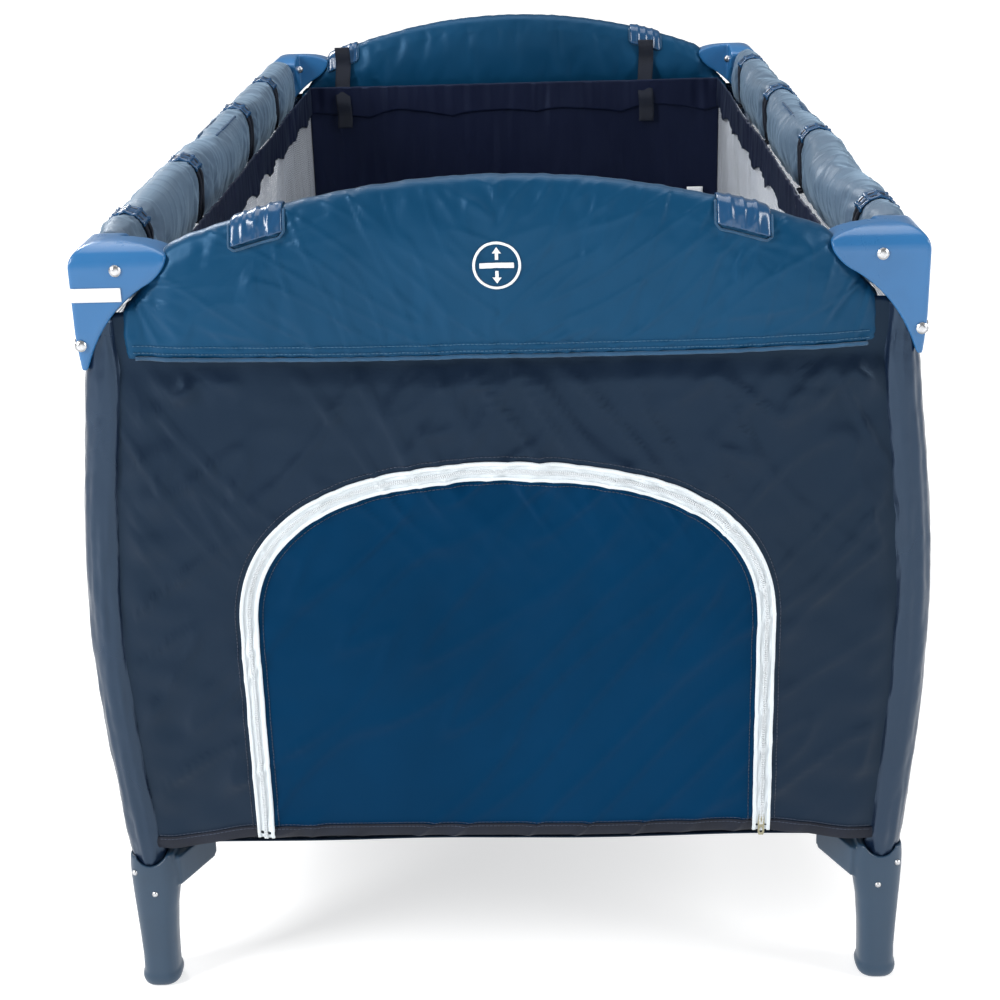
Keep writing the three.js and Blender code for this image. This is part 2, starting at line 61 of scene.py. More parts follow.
corners = [(end, side) for end in ("front", "rear") for side in ("left", "right")]
signOf = {"left": -1, "right": 1, "front": -1, "rear": 1}

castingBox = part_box("corner_casting_front_right")
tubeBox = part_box("rail_tube_right_front")
cot = {  # places read from the frame, in metres
    "halfWidth": castingBox[1][0],
    "halfLength": -castingBox[0][1],
    "castingTop": castingBox[1][2],
    "castingTip": castingBox[0][2],
    "railZ": (tubeBox[0][2] + tubeBox[1][2]) / 2,
    "postX": (tubeBox[0][0] + tubeBox[1][0]) / 2,
    "postY": (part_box("rail_tube_rear_right")[0][1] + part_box("rail_tube_rear_right")[1][1]) / 2,
    "footTop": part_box("foot_front_right")[1][2],
    "hem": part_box("front_panel")[0][2],
    "endCoverTop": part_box("rail_cover_front")[1][2],
    "endCoverHem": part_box("rail_cover_front")[0][2],
    "sideCoverTop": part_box("rail_cover_right")[1][2],
    "sideCoverHem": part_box("rail_cover_right")[0][2],
}
joints = {joint["name"]: joint for joint in frame["joints"]}
endPivotX = -joints["front_rail_left_fold"]["pos_m"][0]
sidePivotY = -joints["left_rail_front_fold"]["pos_m"][1]
housingPin = -joints["front_latch_turn"]["pos_m"][0]
print("frame read")


# camera, floor and light

shot = {  # where the camera stands and how it looks
    "place": (0.0359, -2.0177, 1.0253),
    "pitch": 21.09,
    "yaw": 1.60,
    "roll": 1.67,
    "lens": 63.8,
}


def placeCamera():
    data = bpy.data.cameras.new("camera")
    data.lens = shot["lens"]
    data.sensor_width = 36
    camera = bpy.data.objects.new("camera", data)
    turn = Matrix.Rotation(math.radians(shot["yaw"]), 4, "Z")
    turn @= Matrix.Rotation(math.radians(90 - shot["pitch"]), 4, "X")
    turn @= Matrix.Rotation(math.radians(-shot["roll"]), 4, "Z")
    camera.matrix_world = Matrix.Translation(shot["place"]) @ turn
    scene.collection.objects.link(camera)
    scene.camera = camera


def softLight(name, place, aim, size, power, tint=(1, 1, 1)):
    data = bpy.data.lights.new(name, "AREA")
    data.shape = "RECTANGLE"
    data.size, data.size_y = size
    data.energy = power
    data.color = tint
    light = bpy.data.objects.new(name, data)
    light.location = place
    light.rotation_euler = (Vector(aim) - Vector(place)).to_track_quat("-Z", "Y").to_euler()
    scene.collection.objects.link(light)


placeCamera()
softLight("windowLeft", (-2.5, -1.9, 2.0), (0, -0.4, 0.45), (0.9, 1.6), 92)
softLight("windowRight", (2.7, -1.3, 1.7), (0, -0.1, 0.45), (0.9, 1.7), 52)
softLight("overhead", (0, 0.3, 3.0), (0, 0, 0.5), (2.4, 2.4), 44)
softLight("backLeft", (-1.7, 1.9, 2.3), (0.33, 0.1, 0.69), (0.9, 0.9), 40)
softLight("fill", (0.2, -3.4, 0.9), (0, 0, 0.4), (2.2, 1.4), 8)

world = bpy.data.worlds.new("studio")
world.use_nodes = True
world.node_tree.nodes["Background"].inputs["Color"].default_value = (1, 1, 1, 1)
sky = world.node_tree.nodes["Background"]
seen = world.node_tree.nodes.new("ShaderNodeLightPath")
strength = world.node_tree.nodes.new("ShaderNodeMapRange")  # white behind the object, softer as a light
strength.inputs["To Min"].default_value = 0.26
strength.inputs["To Max"].default_value = 1.0
world.node_tree.links.new(seen.outputs["Is Camera Ray"], strength.inputs["Value"])
world.node_tree.links.new(strength.outputs["Result"], sky.inputs["Strength"])
scene.world = world
scene.view_settings.view_transform = "Standard"


# material helpers


class Nodes:
    # a small wrapper so that a material reads as a list of its nodes
    def __init__(self, name):
        self.material = bpy.data.materials.new(name)
        self.material.use_nodes = True
        self.tree = self.material.node_tree
        self.shader = self.tree.nodes["Principled BSDF"]
        self.place = self.add("ShaderNodeTexCoord").outputs["Object"]

    def add(self, kind, **values):
        node = self.tree.nodes.new(kind)
        for key, value in values.items():
            if hasattr(node, key):
                setattr(node, key, value)
            else:
                node.inputs[key].default_value = value
        return node

    def link(self, source, target):
        self.tree.links.new(source, target)

    def stretched(self, scale, turn=(0, 0, 0)):
        node = self.add("ShaderNodeMapping")
        node.inputs["Scale"].default_value = scale
        node.inputs["Rotation"].default_value = turn
        self.link(self.place, node.inputs["Vector"])
        return node.outputs["Vector"]

    def noiseOf(self, vector, scale, detail=3.0, rough=0.55):
        node = self.add("ShaderNodeTexNoise")
        node.inputs["Scale"].default_value = scale
        node.inputs["Detail"].default_value = detail
        node.inputs["Roughness"].default_value = rough
        self.link(vector, node.inputs["Vector"])
        return node.outputs["Fac"]

    def waveOf(self, vector, scale, axis):
        node = self.add("ShaderNodeTexWave", bands_direction=axis)
        node.inputs["Scale"].default_value = scale
        self.link(vector, node.inputs["Vector"])
        return node.outputs["Fac"]

    def maths(self, kind, a, b):
        node = self.add("ShaderNodeMath", operation=kind)
        for socket, value in zip(node.inputs, (a, b)):
            if isinstance(value, (int, float)):
                socket.default_value = value
            else:
                self.link(value, socket)
        return node.outputs[0]

    def ramp(self, source, stops):
        node = self.add("ShaderNodeValToRGB")
        while len(node.color_ramp.elements) < len(stops):
            node.color_ramp.elements.new(0.5)
        for element, (position, colour) in zip(node.color_ramp.elements, stops):
            element.position = position
            element.color = (*colour, 1) if len(colour) == 3 else colour
        self.link(source, node.inputs["Fac"])
        return node.outputs["Color"]

    def spread(self, source, low, high):
        node = self.add("ShaderNodeMapRange")
        node.inputs["To Min"].default_value = low
        node.inputs["To Max"].default_value = high
        self.link(source, node.inputs["Value"])
        return node.outputs["Result"]

    def bump(self, height, distance, strength=1.0, under=None):
        node = self.add("ShaderNodeBump")
        node.inputs["Distance"].default_value = distance
        node.inputs["Strength"].default_value = strength
        self.link(height, node.inputs["Height"])
        if under is not None:
            self.link(under, node.inputs["Normal"])
        return node.outputs["Normal"]

    def finish(self, colour, normal=None, rough=None, **constants):
        self.link(colour, self.shader.inputs["Base Color"])
        if normal is not None:
            self.link(normal, self.shader.inputs["Normal"])
        if rough is not None:
            self.link(rough, self.shader.inputs["Roughness"])
        for key, value in constants.items():
            self.shader.inputs[key.replace("_", " ")].default_value = value
        return self.material


def shades(colour, low, high):
    return [tuple(channel * factor for channel in colour) for factor in (low, 1.0, high)]


def satinNylon(name, colour, rough=0.36, weave=1900, crinkle=0.5, sheen=0.05, gloss=0.3,
               tint=(0.30, 0.62, 1.0)):
    n = Nodes(name)
    dark, base, light = shades(colour, 0.80, 1.22)
    broad = n.noiseOf(n.stretched((3.2, 3.2, 2.2)), 1.5, 4)
    tone = n.ramp(broad, [(0.30, dark), (0.52, base), (0.78, light)])
    warp = n.waveOf(n.stretched((1, 1, 1)), weave / 6.28, "X")
    weft = n.waveOf(n.stretched((1, 1, 1)), weave / 6.28, "Z")
    cloth = n.bump(n.maths("MULTIPLY", warp, weft), 0.00012, 0.35)
    fine = n.noiseOf(n.stretched((26, 26, 11)), 1.0, 5, 0.6)
    creased = n.bump(fine, 0.0016 * crinkle, 0.8, cloth)
    patchy = n.spread(n.noiseOf(n.place, 9, 3), rough - 0.06, rough + 0.10)
    return n.finish(tone, creased, patchy, Sheen_Weight=sheen, Sheen_Roughness=0.35,
                    Specular_IOR_Level=gloss, Specular_Tint=(*tint, 1), Sheen_Tint=(0.55, 0.78, 1.0, 1))


def mouldedPlastic(name, colour, rough=0.28, coat=0.15):
    n = Nodes(name)
    dark, base, light = shades(colour, 0.88, 1.10)
    tone = n.ramp(n.noiseOf(n.place, 14, 4), [(0.3, dark), (0.5, base), (0.75, light)])
    grain = n.bump(n.noiseOf(n.place, 900, 2), 0.00008, 0.5)
    flow = n.bump(n.noiseOf(n.place, 38, 3), 0.0004, 0.35, grain)
    scuffs = n.spread(n.noiseOf(n.stretched((60, 60, 18)), 1.0, 6, 0.7), rough - 0.05, rough + 0.13)
    return n.finish(tone, flow, scuffs, Coat_Weight=coat, Coat_Roughness=0.2)


def coatedSteel(name, colour):
    n = Nodes(name)
    dark, base, light = shades(colour, 0.85, 1.1)
    tone = n.ramp(n.noiseOf(n.place, 20, 4), [(0.3, dark), (0.5, base), (0.8, light)])
    peel = n.bump(n.noiseOf(n.place, 420, 3), 0.00012, 0.6)
    return n.finish(tone, peel, n.spread(n.noiseOf(n.place, 30, 4), 0.32, 0.5), Metallic=0.35)


def bareMetal(name, colour, rough=0.25):
    n = Nodes(name)
    dark, base, light = shades(colour, 0.75, 1.1)
    tone = n.ramp(n.noiseOf(n.place, 300, 4), [(0.3, dark), (0.55, base), (0.8, light)])
    worn = n.spread(n.noiseOf(n.place, 500, 4), rough - 0.06, rough + 0.15)
    return n.finish(tone, n.bump(n.noiseOf(n.place, 900, 2), 0.00005, 0.5), worn, Metallic=1.0)


def wovenBand(name, colour, rib=2600, rough=0.7, vary=0.3, sheen=0.2):
    n = Nodes(name)
    dark, base, light = shades(colour, 1 - vary, 1 + vary)
    ribs = n.waveOf(n.stretched((1, 1, 1), (0, 0, 0.78)), rib / 6.28, "X")
    rows = n.waveOf(n.stretched((1, 1, 1)), rib / 6.28, "Z")
    woven = n.maths("MULTIPLY", ribs, rows)
    tone = n.ramp(n.maths("ADD", n.maths("MULTIPLY", woven, 0.35), n.noiseOf(n.place, 30, 3)),
                  [(0.35, dark), (0.6, base), (0.95, light)])
    return n.finish(tone, n.bump(woven, 0.0003, 0.7), None, Roughness=rough, Sheen_Weight=sheen,
                    Specular_IOR_Level=0.3)


def openMesh(name, colour, cell=700, opacity=0.34):
    n = Nodes(name)
    along = n.waveOf(n.stretched((1, 1, 1)), cell / 6.28, "Y")
    upward = n.waveOf(n.stretched((1, 1, 1)), cell / 6.28, "Z")
    thread = n.maths("MAXIMUM", along, upward)
    net = n.maths("GREATER_THAN", thread, 1 - opacity)
    tone = n.ramp(n.noiseOf(n.place, 12, 3), [(0.3, shades(colour, 0.85, 1)[0]), (0.7, colour)])
    n.link(net, n.shader.inputs["Alpha"])
    return n.finish(tone, n.bump(thread, 0.0002, 0.5), None, Roughness=0.6)


looks = {
    "blueSatin": satinNylon("blueSatin", (0.0030, 0.043, 0.104), 0.36, crinkle=0.22, sheen=0.04, gloss=0.42),
    "doorSatin": satinNylon("doorSatin", (0.0008, 0.025, 0.072), 0.36, crinkle=0.25, sheen=0.0, gloss=0.16,
                            tint=(0.12, 0.50, 1.0)),
    "navySatin": satinNylon("navySatin", (0.0030, 0.0078, 0.0200), 0.33, crinkle=0.4, sheen=0.02, gloss=0.38,
                            tint=(0.42, 0.68, 1.0)),
    "sleeveSatin": satinNylon("sleeveSatin", (0.0040, 0.0105, 0.0280), 0.24, crinkle=0.3, sheen=0.02,
                              gloss=0.8,
                              tint=(0.5, 0.72, 1.0)),
    "padSatin": satinNylon("padSatin", (0.0480, 0.088, 0.145), 0.46, crinkle=0.18, sheen=0.5, gloss=1.0,
                           tint=(0.8, 0.9, 1.0)),
    "darkTaffeta": satinNylon("darkTaffeta", (0.0050, 0.0070, 0.022), 0.42, crinkle=0.8, gloss=0.34,
                              tint=(0.45, 0.60, 1.0)),
    "quilt": satinNylon("quilt", (0.012, 0.024, 0.055), 0.5, crinkle=0.6),
    "castingBlue": mouldedPlastic("castingBlue", (0.020, 0.130, 0.320), 0.26, 0.25),
    "footBlue": mouldedPlastic("footBlue", (0.012, 0.042, 0.084), 0.36, 0.1),
    "clipBlue": mouldedPlastic("clipBlue", (0.006, 0.058, 0.150), 0.20, 0.3),
    "blackPlastic": mouldedPlastic("blackPlastic", (0.012, 0.014, 0.018), 0.4, 0.0),
    "greySteel": coatedSteel("greySteel", (0.11, 0.12, 0.14)),
    "boltSteel": bareMetal("boltSteel", (0.62, 0.63, 0.65)),
    "agedBrass": bareMetal("agedBrass", (0.36, 0.34, 0.24), 0.3),
    "zipWhite": wovenBand("zipWhite", (0.74, 0.80, 0.84), 1800, 0.55, 0.09),
    "zipTeeth": mouldedPlastic("zipTeeth", (0.70, 0.74, 0.77), 0.3, 0.1),
    "binding": wovenBand("binding", (0.006, 0.010, 0.022), 3000, 0.6, sheen=0.02),
    "blueBinding": wovenBand("blueBinding", (0.014, 0.075, 0.160), 3000, 0.5),
    "webbing": wovenBand("webbing", (0.012, 0.016, 0.028), 2200, 0.6),
    "sideNet": openMesh("sideNet", (0.62, 0.66, 0.72), opacity=0.18),
    "whitePrint": mouldedPlastic("whitePrint", (0.80, 0.82, 0.84), 0.45, 0.0),
    "threadBlue": wovenBand("threadBlue", (0.030, 0.12, 0.23), 6000, 0.5),
    "threadNavy": wovenBand("threadNavy", (0.035, 0.05, 0.09), 6000, 0.5),
}
print("materials made")


# mesh helpers


def newPiece(name, points, faces, look, smooth=True):
    mesh = bpy.data.meshes.new(name)
    mesh.from_pydata([tuple(p) for p in points], [], faces)
    mesh.update()
    if smooth:
        mesh.shade_smooth()
    mesh.materials.append(looks[look])
    piece = bpy.data.objects.new(name, mesh)
    scene.collection.objects.link(piece)
    return piece


def gridFaces(rows, columns, closed=False):
    faces = []
    for r in range(rows - 1):
        for c in range(columns if closed else columns - 1):
            d = (c + 1) % columns
            faces.append((r * columns + c, r * columns + d, (r + 1) * columns + d, (r + 1) * columns + c))
    return faces


def outward(piece):
    # merges doubles and turns the faces of a closed mesh out
    b = bmesh.new()
    b.from_mesh(piece.data)
    bmesh.ops.remove_doubles(b, verts=b.verts, dist=1e-6)
    bmesh.ops.recalc_face_normals(b, faces=b.faces)
    b.to_mesh(piece.data)
    b.free()
    return piece


def bake(piece):
    # turns the live modifiers into a plain mesh
    made = bpy.data.meshes.new_from_object(piece.evaluated_get(bpy.context.evaluated_depsgraph_get()))
    piece.modifiers.clear()
    piece.data = made
    made.shade_smooth()
    return piece


def thicken(piece, thickness, offset=-1):
    skin = piece.modifiers.new("wall", "SOLIDIFY")
    skin.thickness = thickness
    skin.offset = offset
    return bake(piece)


def sweep(path, section, closedSection=True):
    # rings of section points (side, up) along a path of (place, sideways, upwards)
    points = []
    for place, sideways, upwards in path:
        points += [place + sideways * s + upwards * u for s, u in section]
    rows, columns = len(path), len(section)
    faces = gridFaces(rows, columns, closedSection)
    if closedSection:
        faces.append(tuple(range(columns))[::-1])
        faces.append(tuple((rows - 1) * columns + c for c in range(columns)))
    return points, faces


def roundSection(radius, sides=24):
    turn = [2 * math.pi * i / sides for i in range(sides)]
    return [(radius * math.cos(t), radius * math.sin(t)) for t in turn]


def joined(name, pieces):
    # several meshes as one piece, keeping each one's material
    b = bmesh.new()
    materials = []
    for piece in pieces:
        start = len(b.faces)
        b.from_mesh(piece.data)
        b.faces.ensure_lookup_table()
        for face in b.faces[start:]:
            material = piece.data.materials[face.material_index]
            if material not in materials:
                materials.append(material)
            face.material_index = materials.index(material)
    mesh = bpy.data.meshes.new(name)
    b.to_mesh(mesh)
    b.free()
    for material in materials:
        mesh.materials.append(material)
    mesh.shade_smooth()
    for piece in pieces:
        bpy.data.objects.remove(piece, do_unlink=True)
    result = bpy.data.objects.new(name, mesh)
    scene.collection.objects.link(result)
    return result


def smoothMoulding(piece, voxel, passes):
    # one skin over the joined solids, with the soft edges of a moulding
    remesh = piece.modifiers.new("skin", "REMESH")
    remesh.mode = "VOXEL"
    remesh.voxel_size = voxel
    remesh.use_smooth_shade = True
    soften = piece.modifiers.new("soften", "SMOOTH")
    soften.factor = 0.5
    soften.iterations = passes
    return bake(piece)


def mouldedCopy(name, node, look, voxel=0.0015, passes=3):
    source = frame["nodes"][node]
    piece = bpy.data.objects.new(name, source.data.copy())
    scene.collection.objects.link(piece)
    piece.data.materials.clear()
    piece.data.materials.append(looks[look])
    b = bmesh.new()
    b.from_mesh(piece.data)
    bmesh.ops.remove_doubles(b, verts=b.verts, dist=1e-5)
    b.to_mesh(piece.data)
    b.free()
    smoothMoulding(piece, voxel, passes)
    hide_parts(node)
    return piece


def fold(x, z, ax, az, reach, count, seed):
    # creases that fan out from a point and die away
    dx, dz = x - ax, z - az
    r = math.hypot(dx, dz)
    value = noise.noise(Vector((math.atan2(dz, dx) * count, r * 10, seed)))
    return (1 - abs(value) * 2.4) * math.exp(-r / reach) * min(1, r / 0.015)


def crease(x, z, slope, long, short, seed):
    # long soft creases lying along a slope
    a = (x * math.cos(slope) + z * math.sin(slope)) / long
    b = (-x * math.sin(slope) + z * math.cos(slope)) / short
    value = noise.noise(Vector((a, b, seed)))
    return max(0.0, 1 - abs(value) * 5) ** 2


def smoothStep(low, high, value):
    t = min(1, max(0, (value - low) / (high - low)))
    return t * t * (3 - 2 * t)


def legX(z):
    # the bowed line of a leg, as the frame's tubes have it
    top, low = cot["castingTip"], cot["footTop"]
    share = min(1, max(0, (top - z) / (top - low)))
    return cot["postX"] + 0.009 * share + 0.017 * math.sin(math.pi * share) ** 1.2


def gatherEnd(piece, end):
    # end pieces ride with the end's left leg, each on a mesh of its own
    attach(piece, end + "_left_leg")
    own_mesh(piece)


def gatherSide(piece, side):
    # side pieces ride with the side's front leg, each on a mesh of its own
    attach(piece, "front_" + side + "_leg")
    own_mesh(piece)


# corner castings

casting = {"depth": 0.038, "endWing": 0.080, "sideWing": 0.076, "voxel": 0.0016, "slot": 0.0092,
           "slotLong": 0.08, "slotPast": 0.0115}


def curveTo(points, control, end, steps=10):
    start = points[-1]
    for i in range(1, steps + 1):
        t = i / steps
        points.append(tuple((1 - t) ** 2 * a + 2 * t * (1 - t) * b + t * t * c for a, b,
                            c in zip(start, control, end)))


def wingOutline(outer, length):
    inner, top, tip = outer - length, cot["castingTop"], cot["castingTip"]
    points = [(outer - 0.002, tip), (outer, tip + 0.032), (outer, top - 0.018)]
    curveTo(points, (outer - 0.002, top), (outer - 0.030, top))
    curveTo(points, (inner + 0.014, top), (inner, top - 0.010))
    curveTo(points, (inner - 0.001, top - 0.020), (inner + 0.014, top - 0.032))
    curveTo(points, (outer - 0.024, top - 0.054), (outer - 0.007, tip))
    return points


def prism(outline, low, high, place):
    count = len(outline)
    points = [place(a, b, low) for a, b in outline] + [place(a, b, high) for a, b in outline]
    faces = [tuple(range(count)), tuple(range(2 * count - 1, count - 1, -1))]
    faces += [(i, i + count, (i + 1) % count + count, (i + 1) % count) for i in range(count)]
    return points, faces


def boxPiece(low, high, look="blackPlastic"):
    points = [(x, y, z) for x in (low[0], high[0]) for y in (low[1], high[1]) for z in (low[2], high[2])]
    faces = [(0, 1, 3, 2), (4, 6, 7, 5), (0, 4, 5, 1), (2, 3, 7, 6), (0, 2, 6, 4), (1, 5, 7, 3)]
    return outward(newPiece("block", points, faces, look, False))


def cutAway(piece, cutter, operation="DIFFERENCE"):
    cut = piece.modifiers.new("cut", "BOOLEAN")
    cut.operation = operation
    cut.solver = "EXACT"
    cut.object = cutter
    bake(piece)
    bpy.data.objects.remove(cutter, do_unlink=True)


def makeCasting(end, side):
    sx, sy = signOf[side], signOf[end]
    half = casting["depth"] / 2
    px, py = cot["postX"], cot["postY"]
    parts = []
    endOutline = wingOutline(cot["halfWidth"], casting["endWing"])
    sideOutline = wingOutline(cot["halfLength"], casting["sideWing"])
    acrossEnd, acrossSide = (lambda a, b, d: (sx * a, sy * d, b)), (lambda a, b, d: (sx * d, sy * a, b))
    for outline, middle, place, other, otherPlace in (
        (endOutline, py, acrossEnd, sideOutline, acrossSide),
        (sideOutline, px, acrossSide, endOutline, acrossEnd),
    ):  # each wing is trimmed by the other's outline, so both taper into one tip
        wing = outward(newPiece("wing", *prism(outline, middle - half, middle + half, place), "castingBlue"))
        trim = outward(newPiece("trim", *prism(other, 0.2, 0.7, otherPlace), "castingBlue"))
        cutAway(wing, trim, "INTERSECT")
        parts.append(wing)
    piece = joined("casting_" + end + "_" + side, parts)
    smoothMoulding(piece, casting["voxel"], 7)
    slot, low, high = casting["slot"], cot["castingTip"] - 0.01, cot["railZ"] + casting["slotPast"]
    for a, b in (
        ((endPivotX - casting["slotLong"], py - slot), (endPivotX + casting["slotPast"], py + slot)),
        ((px - slot, sidePivotY - casting["slotLong"]), (px + slot, sidePivotY + casting["slotPast"])),
    ):
        xs, ys = sorted((sx * a[0], sx * b[0])), sorted((sy * a[1], sy * b[1]))
        cutAway(piece, boxPiece((xs[0], ys[0], low), (xs[1], ys[1], high)))
    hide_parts("corner_casting_" + end + "_" + side)
    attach(piece, end + "_" + side + "_leg")


for end, side in corners:
    makeCasting(end, side)
print("castings made")


# legs, feet and tubes

foot = {"reach": 0.019, "cup": 0.0165, "notch": 0.0155, "voxel": 0.0015, "pinZ": 0.120, "earHalf": 0.013,
        "slotHalf": 0.0088}
hub = {"pinX": 0.050, "pinY": 0.052}  # where the four arms are pinned
tubeRadius = 0.008
bootRings = [  # height, inner edge and outer edge across, depth share
    (0.0000, 0.3235, 0.3520, 0.84), (0.0022, 0.3205, 0.3545, 0.94), (0.0070, 0.3187, 0.3560, 1.0),
    (0.0110, 0.3190, 0.3555, 0.99), (0.0135, 0.3205, 0.3540, 0.95), (0.0300, 0.3200, 0.3535, 0.93),
    (0.0520, 0.3190, 0.3540, 0.93), (0.0800, 0.3165, 0.3550, 0.94), (0.1000, 0.3130, 0.3558, 0.96),
    (0.1180, 0.3110, 0.3562, 0.98), (0.1300, 0.3120, 0.3560, 0.98), (0.1410, 0.3140, 0.3550, 0.95),
]


def superRing(low, high, middleY, reach, z, sides=40, power=2.8):
    middle, half = (low + high) / 2, (high - low) / 2
    ring = []
    for i in range(sides):
        t = 2 * math.pi * i / sides
        c, s = math.cos(t), math.sin(t)
        ring.append((middle + half * math.copysign(abs(c) ** (2 / power), c),
                     middleY + reach * math.copysign(abs(s) ** (2 / power), s), z))
    return ring


def loft(name, rings, look):
    count = len(rings[0])
    faces = gridFaces(len(rings), count, True) + [tuple(range(count))[::-1]]
    faces.append(tuple((len(rings) - 1) * count + c for c in range(count)))
    return outward(newPiece(name, [p for ring in rings for p in ring], faces, look))


def makeFoot(end, side):
    sx, sy = signOf[side], signOf[end]
    py = sy * cot["postY"]
    rings = [[(sx * x, y, z) for x, y, z in superRing(low, high, py, foot["reach"] * depth, height)]
             for height, low, high, depth in bootRings]
    parts = [loft("boot", rings, "footBlue")]
    pivot = Vector((sx * endPivotX, sy * sidePivotY, foot["pinZ"]))
    hubPin = Vector((sx * hub["pinX"], sy * hub["pinY"], foot["pinZ"]))
    along = (hubPin - pivot).normalized()
    across = Vector((-along.y, along.x, 0))
    outline = [(-0.030, -0.013), (0.024, -0.013), (0.028, -0.008), (0.028, 0.012), (0.022, 0.017),
               (-0.030, 0.017)]
    ear = prism(outline, -foot["earHalf"], foot["earHalf"],
                lambda a, b, d: tuple(pivot + along * a + across * d + Vector((0, 0, b))))
    parts.append(outward(newPiece("ear", *ear, "footBlue")))
    piece = joined("foot_boot_" + end + "_" + side, parts)
    smoothMoulding(piece, foot["voxel"], 5)
    slotEnds = [(-0.0105, -0.012), (0.05, -0.012), (0.05, 0.04), (-0.0105, 0.04)]
    cutter = prism(slotEnds, -foot["slotHalf"], foot["slotHalf"],
                   lambda a, b, d: tuple(pivot + along * a + across * d + Vector((0, 0, b - 0.003))))
    cutAway(piece, outward(newPiece("cutter", *cutter, "footBlue", False)))
    cup = [[(sx * legX(z) + foot["cup"] * math.cos(t), py + foot["cup"] * math.sin(t), z)
            for t in (2 * math.pi * i / 32 for i in range(32))] for z in (0.112, 0.16)]
    cutAway(piece, loft("cutter", cup, "footBlue"))
    notch = roundSection(foot["notch"], 32)
    cutter = prism(notch, -0.05, 0.05, lambda a, b, d: (sx * 0.334 + a, py + d, 0.1475 + b))
    cutAway(piece, outward(newPiece("cutter", *cutter, "footBlue", False)))
    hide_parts("foot_" + end + "_" + side)
    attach(piece, end + "_" + side + "_leg")


sleeve = {"reach": 0.0176, "low": 0.124, "high": 0.650, "rows": 170, "sides": 56, "wrinkle": 0.0011}


def makeSleeve(end, side):
    sx, sy = signOf[side], signOf[end]
    rings = []
    for r in range(sleeve["rows"]):
        z = sleeve["low"] + (sleeve["high"] - sleeve["low"]) * r / (sleeve["rows"] - 1)
        neck = 0.0155 + (sleeve["reach"] - 0.0155) * smoothStep(0.128, 0.165, z) - 0.003 * smoothStep(0.59,
                                                                                                      0.64, z)
        ring = []
        for c in range(sleeve["sides"]):
            t = 2 * math.pi * c / sleeve["sides"]
            ripple = noise.noise(Vector((math.cos(t) * 2.2, math.sin(t) * 2.2, z * 26 + sx * 3 + sy * 7)))
            drag = noise.noise(Vector((math.cos(t) * 4, math.sin(t) * 4, z * 80 + sx * 5 + sy)))
            streak = noise.noise(Vector((math.cos(t) * 3.4, math.sin(t) * 3.4, z * 7 + sx * 9 + sy * 4)))
            puckers = (ripple * 1.0 + drag * 0.45 + streak * 1.1) * sleeve["wrinkle"]
            seam = 0.0008 * math.exp(-((t - math.pi if sx > 0 else min(t, 2 * math.pi - t)) / 0.09) ** 2)
            reach = neck + puckers + seam
            ring.append((sx * legX(z) + reach * math.cos(t), sy * cot["postY"] + reach * 1.02 * math.sin(t),
                         z))
        rings.append(ring)
    piece = loft("sleeve_" + end + "_" + side, rings, "sleeveSatin")
    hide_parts("leg_sleeve_" + end + "_" + side)
    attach(piece, end + "_" + side + "_leg")


def tubeAlong(name, points, body, node):
    # a round steel tube along a line, with its ends closed
    path = []
    for i, p in enumerate(points):
        ahead = Vector(points[min(i + 1, len(points) - 1)]) - Vector(points[max(i - 1, 0)])
        ahead.normalize()
        sideways = ahead.cross(Vector((0, 0, 1)))
        if sideways.length < 0.2:
            sideways = ahead.cross(Vector((0, 1, 0)))
        sideways.normalize()
        path.append((Vector(p), sideways, sideways.cross(ahead)))
    piece = outward(newPiece(name, *sweep(path, roundSection(tubeRadius)), "greySteel"))
    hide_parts(node)
    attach(piece, body)


def makeTubes():
    for end, side in corners:
        sx, sy = signOf[side], signOf[end]
        pivot = Vector((sx * endPivotX, sy * sidePivotY, foot["pinZ"]))
        hubPin = Vector((sx * hub["pinX"], sy * hub["pinY"], foot["pinZ"]))
        line = [pivot.lerp(hubPin, i / 12) for i in range(13)]
        tubeAlong("arm_tube_" + end + "_" + side, line, end + "_" + side + "_arm",
                  "base_arm_" + end + "_" + side)
        line = [(sx * cot["postX"], sy * a, cot["railZ"]) for a in np.linspace(sidePivotY + 0.006,
                                                                               housingPin, 12)]
        tubeAlong("side_rail_" + side + "_" + end, line, side + "_rail_" + end,
                  "rail_tube_" + side + "_" + end)


for end, side in corners:
    makeFoot(end, side)
    makeSleeve(end, side)
makeTubes()
print("legs and tubes made")


# hub, latches and pull strap


def makeHub():
    piece = mouldedCopy("hub_moulding", "base_hub", "blackPlastic", 0.0018, 3)
    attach(piece, "hub")
    line = []  # a flat loop of webbing standing up through the floor
    for i in range(61):
        t = math.pi * i / 60
        line.append((0.026 * math.cos(t), 0.1365 + 0.030 * math.sin(t) ** 0.8))
    section = [(-0.0124, -0.0008), (0.0124, -0.0008), (0.0124, 0.0008), (-0.0124, 0.0008)]
    path = []
    for i, (x, z) in enumerate(line):
        a, b = line[max(0, i - 1)], line[min(60, i + 1)]
        ahead = Vector((b[0] - a[0], 0, b[1] - a[1])).normalized()
        path.append((Vector((x, 0, z)), Vector((0, 1, 0)), Vector((0, 1, 0)).cross(ahead)))
    strap = outward(newPiece("strap_loop", *sweep(path, section), "webbing", False))
    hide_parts("pull_strap")
    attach(strap, "hub")


makeHub()
nodeLooks = {"latch_housing": "clipBlue", "latch_button": "blackPlastic", "leg_tube": "greySteel",
              "rail_tube": "greySteel", "corner": "castingBlue", "foot": "footBlue"}
for name, node in frame["nodes"].items():  # every node gets a finish, shown or not
    look = next((value for key, value in nodeLooks.items() if name.startswith(key)), "navySatin")
    node.data.materials.clear()
    node.data.materials.append(looks[look])
print("hub and latches made")


# repeated small parts


